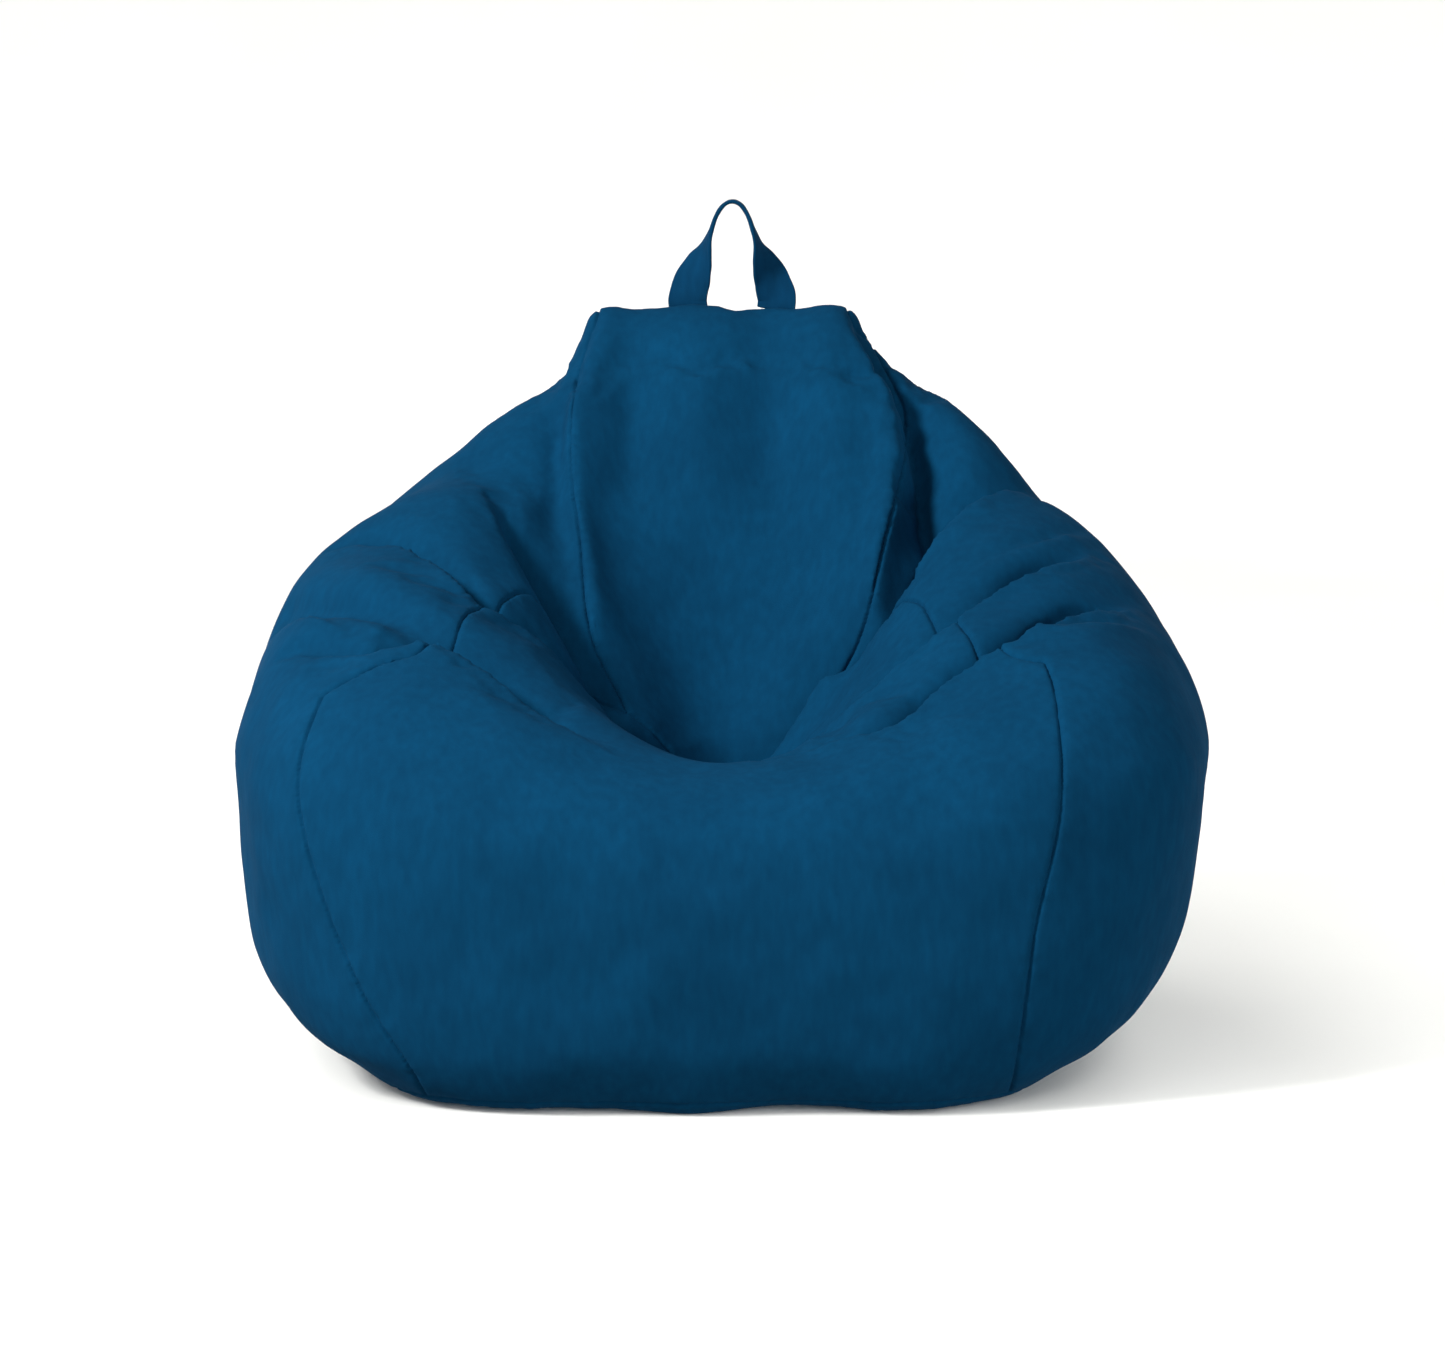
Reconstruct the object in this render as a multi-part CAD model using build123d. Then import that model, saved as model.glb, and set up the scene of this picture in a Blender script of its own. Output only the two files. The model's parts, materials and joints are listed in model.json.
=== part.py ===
"""Teardrop bean bag chair: a sewn cover of seven panels with a carry loop and a rear zip, over a loose
inner liner with its own zip, filled with foam beads. It has been sat in, so it has a seat hollow between
a front roll and two arms, and a backrest that leans to a narrow crown.

Millimetres. +Z is up, the chair faces -Y, and the origin is on the floor under the middle of the chair.
Every layer is lofted through the same upright sections, drawn in by its own inset."""

import os
from dataclasses import dataclass
from functools import cache

from build123d import *

# Overall size of the filled chair, without the carry loop
WIDTH = 1000
DEPTH = 976
HEIGHT = 720

# Cloth thicknesses from the outside in, and the slack between the layers
COVER_CLOTH = 2.0
LINER_SLACK = 2.5
LINER_CLOTH = 1.0
FILL_SLACK = 1.5

# Seams of the cover: the base seam's height, and where the seat and crown seams lie along the depth
BASE_SEAM_HEIGHT = 12
SEAT_SEAM_Y = -0.02 * DEPTH
CROWN_SEAM_Y = 0.275 * DEPTH

# Carry loop: a strap of doubled cloth with its ends side by side in the crown seam
STRAP_WIDTH = 42
STRAP_TOP_WIDTH = 36
STRAP_THICKNESS = 5
LOOP_HEIGHT = 106
LOOP_FOOT_SPREAD = 96
LOOP_PLACE_X = 12
LOOP_CLEARANCE = 4.0
# Right leg, from its foot up: shares of the foot's spread and of the height, then the lean towards the
# other leg and the twist away from facing the front, in degrees
LOOP_LEG = [
    (1.00, 0.00, 0, 0),
    (0.90, 0.16, 14, 16),
    (0.75, 0.35, 19, 45),
    (0.56, 0.58, 20, 82),
    (0.375, 0.83, 26, 90),
    (0.20, 0.96, 60, 90),
]
PATCH_LENGTH = 190
PATCH_WIDTH = 26
PATCH_THICKNESS = 1.2


@dataclass
class Zip:
    """A straight coil zip. Its two tapes leave a gap, in which the slider's post runs."""

    length: float
    tape_width: float
    tape_thickness: float
    coil_width: float
    coil_height: float
    gap: float
    stop_length: float
    slider_length: float
    slider_width: float
    slider_plate: float
    slider_post: float


REAR_ZIP = Zip(340, 18, 0.8, 3.6, 2.6, 2.0, 5, 15, 12.4, 1.4, 1.2)
LINER_ZIP = Zip(260, 12, 0.6, 2.4, 1.8, 1.6, 4, 11, 9.0, 1.0, 0.9)
SLIDER_CLEARANCE = 0.35
SLOT_CLEARANCE = 1.5
REAR_FLAT_DEPTH = 4.5
ZIP_LAYER_GAP = 3.0

# The rear slider's pull and the pin that it hangs from. The liner's slider has neither, so that a child
# can't open it.
PIN_RADIUS = 1.1
PIN_CLEARANCE = 0.15
LUG_THICKNESS = 1.8
LUG_RIM = 0.8
PULL_LENGTH = 42
PULL_WIDTH = 8
PULL_THICKNESS = 1.8
PULL_SLOT_LENGTH = 14
PULL_SLOT_WIDTH = 3.2

# Care label, a blank strip sewn flat low on the left of the back
LABEL_WIDTH = 36
LABEL_LENGTH = 62
LABEL_THICKNESS = 0.6
LABEL_STANDOFF = 0.4
LABEL_X = -0.17 * WIDTH
LABEL_Z = 0.30 * HEIGHT

UNDER_FLOOR = 22
FAR = 2000

# Upright sections from front to back: place along the depth, then half widths and heights, all as shares
# of the overall size. The belly is the widest point, the foot the edge of the flat that it rests on, the
# arm the highest side point, and the middle is in turn the front roll, the seat, the backrest and the back.
# The shoulder says how far the cloth stands out between the arm and the flank, as a share of the height.
# A bottom of zero is taken under the floor, where the layer is cut flat.
#    place   belly  belly  foot   bottom arm    arm    middle shoulder
#            x      z      x      z      x      z      z
SECTIONS = [
    (-0.500, 0.130, 0.235, 0.075, 0.160, 0.070, 0.300, 0.303, 0.010),
    (-0.490, 0.235, 0.234, 0.150, 0.075, 0.140, 0.356, 0.352, 0.015),
    (-0.460, 0.348, 0.243, 0.230, 0.012, 0.228, 0.424, 0.404, 0.025),
    (-0.400, 0.422, 0.262, 0.285, 0, 0.280, 0.505, 0.431, 0.030),
    (-0.297, 0.470, 0.285, 0.325, 0, 0.305, 0.590, 0.417, 0.035),
    (-0.174, 0.490, 0.300, 0.350, 0, 0.305, 0.645, 0.356, 0.040),
    (-0.051, 0.496, 0.305, 0.360, 0, 0.285, 0.694, 0.331, 0.042),
    (0.061, 0.493, 0.305, 0.355, 0, 0.252, 0.750, 0.470, 0.042),
    (0.154, 0.480, 0.305, 0.340, 0, 0.205, 0.830, 0.753, 0.018),
    (0.241, 0.450, 0.295, 0.315, 0, 0.128, 0.992, 1.000, 0.000),
    (0.307, 0.412, 0.283, 0.285, 0, 0.122, 0.968, 0.985, 0.000),
    (0.374, 0.362, 0.269, 0.245, 0, 0.128, 0.755, 0.777, 0.012),
    (0.436, 0.300, 0.258, 0.195, 0, 0.120, 0.570, 0.587, 0.020),
    (0.475, 0.232, 0.250, 0.140, 0.035, 0.095, 0.450, 0.467, 0.015),
    (0.494, 0.165, 0.240, 0.095, 0.100, 0.070, 0.365, 0.375, 0.010),
    (0.500, 0.110, 0.235, 0.060, 0.150, 0.045, 0.315, 0.320, 0.006),
]
# Places between the named points of a section: how far along the straight line from the first to the
# second, and how far outside it, across and up, as shares of the belly's half width
HAUNCH = (0.45, 0.105, 0)
FLANK = (0.42, 0.13, 0.09)
SHOULDER_SHARE = 0.68
SLOPE_SHARE = 0.52
FLAT_SHARE = 0.6
# Two places on the straight stretch of the back, which both zips follow
BACK_LINE_TOP = (0.307, 0.983)
BACK_LINE_FOOT = (0.475, 0.467)


def section_wire(shares, inset):
    """One upright section as a closed smooth curve, drawn in by the inset."""
    place, belly_x, belly_z, foot_x, bottom_z, arm_x, arm_z, middle_z, shoulder_out = shares
    belly = Vector(belly_x * WIDTH, belly_z * HEIGHT)
    foot = Vector(foot_x * WIDTH, bottom_z * HEIGHT or -UNDER_FLOOR)
    arm = Vector(arm_x * WIDTH, arm_z * HEIGHT)
    middle = Vector(0, middle_z * HEIGHT)
    haunch = belly + (foot - belly) * HAUNCH[0] + Vector(HAUNCH[1], HAUNCH[2]) * belly.X
    flank = belly + (arm - belly) * FLANK[0] + Vector(FLANK[1], FLANK[2]) * belly.X
    fall = arm - flank
    outwards = Vector(fall.Y, -fall.X).normalized()
    shoulder = flank + fall * SHOULDER_SHARE + outwards * shoulder_out * HEIGHT
    slope = arm + (middle - arm) * SLOPE_SHARE
    bottom = [Vector(0, foot.Y), Vector(foot.X * FLAT_SHARE, foot.Y)]
    half = bottom + [foot, haunch, belly, flank, shoulder, arm, slope, middle]
    mirrored = [Vector(-p.X, p.Y) for p in reversed(half[1:-1])]
    outline = half + mirrored
    drawn_in = []
    for i, point in enumerate(outline):
        along = (outline[(i + 1) % len(outline)] - outline[i - 1]).normalized()
        drawn_in.append(point + Vector(-along.Y, along.X) * inset)
    y = place * DEPTH
    y += inset if y < CROWN_SEAM_Y else -inset
    return Wire(Spline([Vector(p.X, y, p.Y) for p in drawn_in], periodic=True))


def back_plane(drop):
    """Plane of a zip's flat, drop below the back's own line. Its Y is up along the zip, its Z is outwards,
    and its X is towards the chair's left, which is -X."""
    top = Vector(0, BACK_LINE_TOP[0] * DEPTH, BACK_LINE_TOP[1] * HEIGHT)
    foot = Vector(0, BACK_LINE_FOOT[0] * DEPTH, BACK_LINE_FOOT[1] * HEIGHT)
    upwards = (top - foot).normalized()
    outwards = upwards.cross(Vector(1, 0, 0))
    return Plane(origin=(top + foot) / 2 - outwards * drop, x_dir=(-1, 0, 0), z_dir=outwards)


def block_on_back(width, length, low, high, x=0, y=0, drop=0):
    """A block on a zip's plane, from low to high along its outward direction. x is the chair's own X."""
    block = Box(width, length, high - low, align=(Align.CENTER, Align.CENTER, Align.MIN))
    return back_plane(drop) * (Pos(-x, y, low) * block)


@cache
def body_layer(inset, drop):
    """The chair's solid shape inset from its outside, flat on the floor and flat behind the zips."""
    body = Solid.make_loft([section_wire(shares, inset) for shares in SECTIONS])
    above_floor = Pos(0, 0, inset) * Box(FAR, FAR, FAR, align=(Align.CENTER, Align.CENTER, Align.MIN))
    inside_flat = back_plane(drop) * Box(FAR, FAR, FAR, align=(Align.CENTER, Align.CENTER, Align.MAX))
    return body & above_floor & inside_flat


def mirrored_face(*right_edges):
    """A flat shape from its right-hand edges, their mirror images, and the lines across at both ends."""
    right = Wire(list(right_edges))
    left = mirror(right, about=Plane.YZ)
    return make_face([*right.edges(), *left.edges(), Line(right @ 0, left @ 0), Line(right @ 1, left @ 1)])


def upright_prism(flat_shape, front, back):
    """A prism of a shape drawn in width and height, from front to back."""
    return Pos(0, front, 0) * extrude(Plane.XZ * flat_shape, amount=front - back)


def front_region():
    """Where the front panel lies: between its side seams, and narrowing over the arms to the seat seam."""
    shoulder = (0.352 * WIDTH, 0.61 * HEIGHT)
    side = ThreePointArc((0.298 * WIDTH, -UNDER_FLOOR), (0.408 * WIDTH, 0.36 * HEIGHT), shoulder)
    upper = Line(shoulder, (shoulder[0], 1.2 * HEIGHT))
    faced = upright_prism(mirrored_face(side, upper), -FAR / 2, SEAT_SEAM_Y)
    wing = (0.42 * WIDTH, -0.36 * DEPTH)
    inner = ThreePointArc((0.165 * WIDTH, SEAT_SEAM_Y), (0.262 * WIDTH, -0.13 * DEPTH), wing)
    outer = Line(wing, (wing[0], -FAR / 2))
    return faced & extrude(mirrored_face(inner, outer), amount=FAR)


def backrest_region():
    """Where the backrest panel lies: a tongue up from the seat seam to the crown seam."""
    foot, waist, head = (0.100 * WIDTH, 0.2 * HEIGHT), (0.158 * WIDTH, 0.66 * HEIGHT), (0.126 * WIDTH, 1.1 * HEIGHT)
    return upright_prism(mirrored_face(ThreePointArc(foot, waist, head)), SEAT_SEAM_Y, CROWN_SEAM_Y)


def rear_region():
    """Where the two halves of the back lie: behind the crown seam, between the rear side seams."""
    foot, waist, head = (0.235 * WIDTH, -UNDER_FLOOR), (0.262 * WIDTH, 0.42 * HEIGHT), (0.126 * WIDTH, 1.1 * HEIGHT)
    return upright_prism(mirrored_face(ThreePointArc(foot, waist, head)), CROWN_SEAM_Y, FAR / 2)


def half_space(side):
    """Everything on one side of the middle: -1 is the chair's -X side and 1 its +X side."""
    return Pos(side * FAR / 2, 0, 0) * Box(FAR, FAR, FAR)


SIDES = (("left", -1), ("right", 1))


def largest(shape):
    """The one large solid of a cut, without the crumbs that a cut along a seam can leave."""
    return max(shape.solids(), key=lambda solid: solid.area)


def cover_zip_drop():
    """How far the rear zip's tapes lie below the back's line: under the cover's cloth on its flat."""
    return REAR_FLAT_DEPTH + COVER_CLOTH


def liner_flat_drop():
    """How far the liner's flat lies below the back's line, so that both sliders clear each other."""
    under_rear_zip = REAR_ZIP.tape_thickness + SLIDER_CLEARANCE + REAR_ZIP.slider_plate
    over_liner = LINER_ZIP.coil_height + SLIDER_CLEARANCE + LINER_ZIP.slider_plate
    return cover_zip_drop() + under_rear_zip + ZIP_LAYER_GAP + over_liner - LINER_CLOTH


def liner_zip_drop():
    return liner_flat_drop() + LINER_CLOTH


def slot_width(a_zip):
    """Opening left between the folded edges of the cloth, wide enough for the slider."""
    return a_zip.slider_width + 2 * SLOT_CLEARANCE


def make_cover():
    """The seven sewn panels, meeting edge to edge at their seams."""
    shell = body_layer(0, REAR_FLAT_DEPTH) - body_layer(COVER_CLOTH, cover_zip_drop())
    below_seam = Pos(0, 0, BASE_SEAM_HEIGHT) * Box(FAR, FAR, FAR, align=(Align.CENTER, Align.CENTER, Align.MAX))
    slot = block_on_back(slot_width(REAR_ZIP), REAR_ZIP.length, -FAR / 20, FAR / 20)
    panels = {"base_panel": largest(shell & below_seam)}
    rest = shell - below_seam
    for name, region in (("front_panel", front_region()), ("backrest_panel", backrest_region())):
        panels[name] = largest(rest & region)
        rest = rest - region
    rear = (rest & rear_region()) - slot
    rest = rest - rear_region()
    for name, side in SIDES:
        panels[f"rear_panel_{name}"] = largest(rear & half_space(side))
        panels[f"side_panel_{name}"] = largest(rest & half_space(side))
    return panels


def crown_top():
    """Highest point of the cover under the feet of the carry loop."""
    reach = LOOP_FOOT_SPREAD + STRAP_WIDTH
    probe = Pos(LOOP_PLACE_X, CROWN_SEAM_Y, HEIGHT) * Box(reach, 2 * STRAP_THICKNESS, HEIGHT)
    return (body_layer(0, REAR_FLAT_DEPTH) & probe).bounding_box().max.Z


def loop_hinge_point():
    """Middle of the line that the carry loop flops about, just above the crown seam."""
    return Vector(LOOP_PLACE_X, CROWN_SEAM_Y, crown_top() + LOOP_CLEARANCE)


def make_carry_loop():
    """The strap, lofted through its cross-sections from one foot over the top to the other."""
    origin = loop_hinge_point()
    rise = LOOP_HEIGHT - STRAP_THICKNESS / 2
    frames = []
    for x_share, z_share, lean, twist in [*LOOP_LEG, (0, 1, 90, 90)]:
        at = Vector(x_share * LOOP_FOOT_SPREAD / 2, 0, z_share * rise)
        along = Vector(0, 0, 1).rotate(Axis.Y, -lean)
        across = Vector(1, 0, 0).rotate(Axis.Y, -lean).rotate(Axis((0, 0, 0), along), twist)
        frames.append((at, across, along, STRAP_WIDTH + (STRAP_TOP_WIDTH - STRAP_WIDTH) * z_share))
    for at, across, along, width in reversed(frames[:-1]):
        flipped_across = Vector(-across.X, across.Y, across.Z)
        onwards = Vector(along.X, -along.Y, -along.Z)
        frames.append((Vector(-at.X, at.Y, at.Z), flipped_across, onwards, width))
    return loft(
        [
            Plane(origin=origin + at, x_dir=across, z_dir=along) * Rectangle(width, STRAP_THICKNESS)
            for at, across, along, width in frames
        ]
    )


def make_loop_patch():
    """The reinforcing strip inside the crown, which the ends of the carry loop are sewn through."""
    outside = body_layer(COVER_CLOTH, cover_zip_drop())
    inside = body_layer(COVER_CLOTH + PATCH_THICKNESS, cover_zip_drop() + PATCH_THICKNESS)
    strip = Pos(LOOP_PLACE_X, CROWN_SEAM_Y, HEIGHT) * Box(PATCH_LENGTH, PATCH_WIDTH, HEIGHT / 4)
    return largest((outside - inside) & strip)


def make_zip(z, drop):
    """Tapes, coils and stops of a zip whose tapes have their outer face drop below the back's line."""
    coil_x = (z.gap + z.coil_width) / 2
    stop_y = (z.length - z.stop_length) / 2
    chain = z.length - 2 * z.stop_length
    parts = {}
    for name, side in SIDES:
        tape_x = side * (z.gap + z.tape_width) / 2
        parts[f"tape_{name}"] = block_on_back(z.tape_width, z.length, -z.tape_thickness, 0, tape_x, 0, drop)
        parts[f"coil_{name}"] = block_on_back(z.coil_width, chain, 0, z.coil_height, side * coil_x, 0, drop)
    parts["top_stops"] = Compound(
        [
            block_on_back(z.coil_width, z.stop_length, 0, z.coil_height, side * coil_x, stop_y, drop)
            for _, side in SIDES
        ]
    )
    across_both = z.gap + 2 * z.coil_width
    parts["bottom_stop"] = block_on_back(across_both, z.stop_length, 0, z.coil_height, 0, -stop_y, drop)
    return parts


def slider_place(z):
    """Middle of the slider of a closed zip, up from the middle of the zip."""
    return z.length / 2 - z.stop_length - z.slider_length / 2 - SLIDER_CLEARANCE


def make_slider(z, drop):
    """A slider at the closed, upper end of its zip: a plate either side of the coils, and the post."""
    y = slider_place(z)
    over = z.coil_height + SLIDER_CLEARANCE
    under = -z.tape_thickness - SLIDER_CLEARANCE
    post_y = y + z.slider_length * 0.18
    upper = block_on_back(z.slider_width, z.slider_length, over, over + z.slider_plate, 0, y, drop)
    lower = block_on_back(z.slider_width * 0.86, z.slider_length * 0.92, under - z.slider_plate, under, 0, y, drop)
    post = block_on_back(
        z.slider_post, z.slider_length * 0.42, under - z.slider_plate, over + z.slider_plate, 0, post_y, drop
    )
    return upper + post + lower


def pin_height():
    """Height of the pull's pin over the outer face of the rear zip's tapes."""
    top_of_slider = REAR_ZIP.coil_height + SLIDER_CLEARANCE + REAR_ZIP.slider_plate
    return top_of_slider + eye_radius() + PIN_CLEARANCE


def eye_radius():
    return PIN_RADIUS + PIN_CLEARANCE + LUG_RIM


def pin_frame():
    """Frame on the middle of the pull's pin, with its Y up along the zip and its Z outwards."""
    return back_plane(cover_zip_drop()) * Pos(0, slider_place(REAR_ZIP), pin_height())


def make_slider_with_pin():
    """The rear zip's slider, with two lugs and the cross pin between them."""
    body = make_slider(REAR_ZIP, cover_zip_drop())
    top_of_slider = REAR_ZIP.coil_height + SLIDER_CLEARANCE + REAR_ZIP.slider_plate
    lug_length = 2 * (PIN_RADIUS + LUG_RIM)
    for _, side in SIDES:
        lug_x = side * (REAR_ZIP.slider_width - LUG_THICKNESS) / 2
        lug_top = pin_height() + PIN_RADIUS + LUG_RIM
        body += block_on_back(
            LUG_THICKNESS, lug_length, top_of_slider, lug_top, lug_x, slider_place(REAR_ZIP), cover_zip_drop()
        )
    return body + pin_frame() * (Rot(0, 90, 0) * Cylinder(PIN_RADIUS, REAR_ZIP.slider_width - LUG_THICKNESS))


def make_pull():
    """The pull, hanging down along the zip from an eye round the slider's pin."""
    tab = Pos(0, -PULL_LENGTH / 2) * RectangleRounded(PULL_WIDTH, PULL_LENGTH, PULL_WIDTH / 3)
    tab -= Pos(0, -PULL_LENGTH + PULL_SLOT_LENGTH) * SlotOverall(PULL_SLOT_LENGTH, PULL_SLOT_WIDTH, rotation=90)
    blade = Pos(0, 0, -PULL_THICKNESS / 2) * extrude(tab, PULL_THICKNESS)
    eye = Rot(0, 90, 0) * Cylinder(eye_radius(), PULL_WIDTH)
    bore = Rot(0, 90, 0) * Cylinder(PIN_RADIUS + PIN_CLEARANCE, 2 * PULL_WIDTH)
    return pin_frame() * (blade + eye - bore)


def make_label():
    """A blank care label that follows the cover's curve, just proud of it."""
    proud = body_layer(-LABEL_STANDOFF - LABEL_THICKNESS, -LABEL_STANDOFF - LABEL_THICKNESS)
    cover = body_layer(-LABEL_STANDOFF, -LABEL_STANDOFF)
    column = Pos(LABEL_X, DEPTH / 2, LABEL_Z) * Box(LABEL_WIDTH, DEPTH, LABEL_LENGTH)
    return largest((proud - cover) & column)


def make_liner():
    """The inner bag, in two sewn halves with an opening for its zip."""
    outside = COVER_CLOTH + LINER_SLACK
    shell = body_layer(outside, liner_flat_drop()) - body_layer(outside + LINER_CLOTH, liner_zip_drop())
    shell -= block_on_back(slot_width(LINER_ZIP), LINER_ZIP.length, -FAR / 20, FAR / 20)
    return {f"liner_{name}": largest(shell & half_space(side)) for name, side in SIDES}


def make_fill():
    """The foam beads, as the one shape that they fill."""
    inset = COVER_CLOTH + LINER_SLACK + LINER_CLOTH + FILL_SLACK
    under_zip = LINER_ZIP.tape_thickness + SLIDER_CLEARANCE + LINER_ZIP.slider_plate + FILL_SLACK
    return largest(body_layer(inset, liner_zip_drop() + under_zip))


def build():
    """Every sub-part by its node name."""
    nodes = make_cover()
    nodes["carry_loop"] = make_carry_loop()
    nodes["loop_patch"] = make_loop_patch()
    nodes["care_label"] = make_label()
    for name, piece in make_zip(REAR_ZIP, cover_zip_drop()).items():
        nodes[f"zip_{name}"] = piece
    nodes["zip_slider"] = make_slider_with_pin()
    nodes["zip_pull"] = make_pull()
    nodes.update(make_liner())
    for name, piece in make_zip(LINER_ZIP, liner_zip_drop()).items():
        nodes[f"liner_zip_{name}"] = piece
    nodes["liner_zip_slider"] = make_slider(LINER_ZIP, liner_zip_drop())
    nodes["bead_fill"] = make_fill()
    return nodes


if __name__ == "__main__":
    os.makedirs("parts", exist_ok=True)
    for name, shape in build().items():
        export_step(shape, f"parts/{name}.step")
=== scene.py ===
"""Teardrop bean bag chair: the sewn cover with its folds and seams, the carry loop, both zips, the label,
the liner and the beads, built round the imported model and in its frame, in metres."""

import json
import math
from dataclasses import dataclass

import bmesh
import bpy
import numpy as np
from bpy.props import FloatProperty, FloatVectorProperty, PointerProperty
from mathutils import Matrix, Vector, noise
from mathutils.bvhtree import BVHTree
from mathutils.kdtree import KDTree


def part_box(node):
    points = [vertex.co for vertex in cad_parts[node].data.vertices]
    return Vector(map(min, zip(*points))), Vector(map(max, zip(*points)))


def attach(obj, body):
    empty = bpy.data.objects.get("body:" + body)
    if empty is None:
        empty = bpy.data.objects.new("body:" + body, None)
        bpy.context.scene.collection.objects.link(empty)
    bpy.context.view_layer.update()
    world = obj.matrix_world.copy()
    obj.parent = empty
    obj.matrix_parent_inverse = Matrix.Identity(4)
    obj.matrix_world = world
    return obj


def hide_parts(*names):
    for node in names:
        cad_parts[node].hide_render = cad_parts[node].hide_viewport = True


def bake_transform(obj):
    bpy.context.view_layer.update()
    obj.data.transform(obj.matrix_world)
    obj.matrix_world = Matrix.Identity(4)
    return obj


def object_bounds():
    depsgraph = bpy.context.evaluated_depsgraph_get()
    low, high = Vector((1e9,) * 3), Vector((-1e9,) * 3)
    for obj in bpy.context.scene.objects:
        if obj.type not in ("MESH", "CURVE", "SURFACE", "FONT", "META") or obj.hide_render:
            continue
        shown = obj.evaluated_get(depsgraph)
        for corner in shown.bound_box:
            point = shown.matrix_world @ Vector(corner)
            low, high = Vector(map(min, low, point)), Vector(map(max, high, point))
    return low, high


bl_info = {
    "name": "Bean bag chair",
    "version": (1, 0, 0),
    "blender": (4, 5, 0),
    "location": "View3D > Sidebar > Bean bag",
    "description": "Builds a sat-in teardrop bean bag chair with its cover, loop, zips, liner and beads",
    "category": "Object",
}

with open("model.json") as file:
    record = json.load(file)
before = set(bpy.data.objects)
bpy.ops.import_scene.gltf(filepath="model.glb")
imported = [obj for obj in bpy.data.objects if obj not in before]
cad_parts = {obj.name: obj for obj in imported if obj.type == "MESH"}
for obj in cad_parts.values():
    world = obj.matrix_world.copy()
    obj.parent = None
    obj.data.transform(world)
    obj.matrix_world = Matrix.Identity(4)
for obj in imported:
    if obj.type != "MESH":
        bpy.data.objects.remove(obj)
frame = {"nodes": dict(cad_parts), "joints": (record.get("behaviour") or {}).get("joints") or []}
cad_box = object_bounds()

MM = 0.001
ACROSS = Vector((1, 0, 0))
BACKWARDS = Vector((0, 1, 0))
UP = Vector((0, 0, 1))

PANELS = (
    "base_panel",
    "rear_panel_left",
    "rear_panel_right",
    "backrest_panel",
    "front_panel",
    "side_panel_left",
    "side_panel_right",
)
SIDES = (("left", -1), ("right", 1))


def linear(hex_colour):
    """An sRGB colour, such as 1F4E79, as linear red, green, blue and alpha."""
    parts = [int(hex_colour[i : i + 2], 16) / 255 for i in (0, 2, 4)]
    return (*[p / 12.92 if p <= 0.04045 else ((p + 0.055) / 1.055) ** 2.4 for p in parts], 1)


# --- Settings ----------------------------------------------------------------------------------------


def size_setting(name, description, millimetres):
    return FloatProperty(
        name=name, description=description, default=millimetres * MM, min=0, unit="LENGTH", precision=4
    )


def share_setting(name, description, share):
    return FloatProperty(
        name=name, description=description, default=share, min=0, soft_max=2, subtype="FACTOR"
    )


def colour_setting(name, description, hex_colour):
    return FloatVectorProperty(
        name=name, description=description, default=linear(hex_colour), size=4, min=0, max=1, subtype="COLOR"
    )


class CoverSettings(bpy.types.PropertyGroup):
    colour: colour_setting("Cloth", "Colour of the cloth between its cloudy patches", "064367")
    # Nap away and Nap towards are the darker and paler tones of the cloth's painted shade and painted sheen:
    # the nap's lie is real, but how it catches the light is painted into the colour.
    dark: colour_setting("Nap away", "Colour where the nap lies away from the eye", "053D5F")
    pale: colour_setting("Nap towards", "Colour where the nap lies towards the eye", "074A71")
    spacing: size_setting("Mesh spacing", "Distance between the cover's points", 5.5)
    thickness: size_setting("Cloth thickness", "Thickness of the cover's cloth", 1.6)
    folds: share_setting("Folds", "Depth of the pleats and creases, as a share of their drawn depth", 1.0)
    lumps: size_setting("Lumps", "How far the packed beads push the cloth in and out", 2.6)
    seam_depth: size_setting("Seam depth", "How far the stitched seams draw the cloth in", 2.6)
    seam_reach: size_setting("Seam reach", "Distance over which a seam draws the cloth in", 1.9)
    puckers: size_setting("Puckers", "Height of the small gathers along the seams", 0.8)


class TrimSettings(bpy.types.PropertyGroup):
    loop_colour: colour_setting("Loop", "Colour of the carry loop's doubled cloth", "073D60")
    thread_colour: colour_setting("Thread", "Colour of the sewing thread", "0B4268")
    tape_colour: colour_setting("Zip tape", "Colour of the rear zip's tapes", "0A3557")
    coil_colour: colour_setting("Zip coil", "Colour of the rear zip's coils", "0A2E4B")
    metal_colour: colour_setting("Zip metal", "Colour of the sliders' plating", "B9BBBD")
    label_colour: colour_setting("Label", "Colour of the blank care label", "ECEBE6")
    liner_colour: colour_setting("Liner", "Colour of the undyed inner bag", "DEDCD3")
    bead_colour: colour_setting("Beads", "Colour of the foam beads", "F3F3F0")
    stitch_length: size_setting("Stitch length", "Length of a stitch", 3.4)
    thread_thickness: size_setting("Thread thickness", "Thickness of the sewing thread", 0.7)
    coil_pitch: size_setting("Coil pitch", "Distance between two turns of the rear zip's coil", 1.7)


class StageSettings(bpy.types.PropertyGroup):
    floor_colour: colour_setting("Floor", "Colour of the floor and backdrop", "F6F6F2")
    room_light: FloatProperty(
        name="Room light", description="Strength of the even light", default=0.22, min=0
    )
    key_light: FloatProperty(
        name="Key light",
        description="Power that the lights' shares are taken of",
        default=170,
        min=0,
        unit="POWER",
    )
    backdrop_light: FloatProperty(
        name="Backdrop light", description="Strength of the lights on the backdrop alone", default=2.4, min=0
    )


# --- Small tools for meshes ---------------------------------------------------------------------------


def points_of(mesh):
    """The mesh's points as an array, one row each."""
    flat = np.empty(len(mesh.vertices) * 3)
    mesh.vertices.foreach_get("co", flat)
    return flat.reshape(-1, 3)


def set_points(mesh, points):
    mesh.vertices.foreach_set("co", np.asarray(points).ravel())
    mesh.update()


def normals_of(mesh):
    flat = np.empty(len(mesh.vertices) * 3)
    mesh.vertex_normals.foreach_get("vector", flat)
    return flat.reshape(-1, 3)


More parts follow.
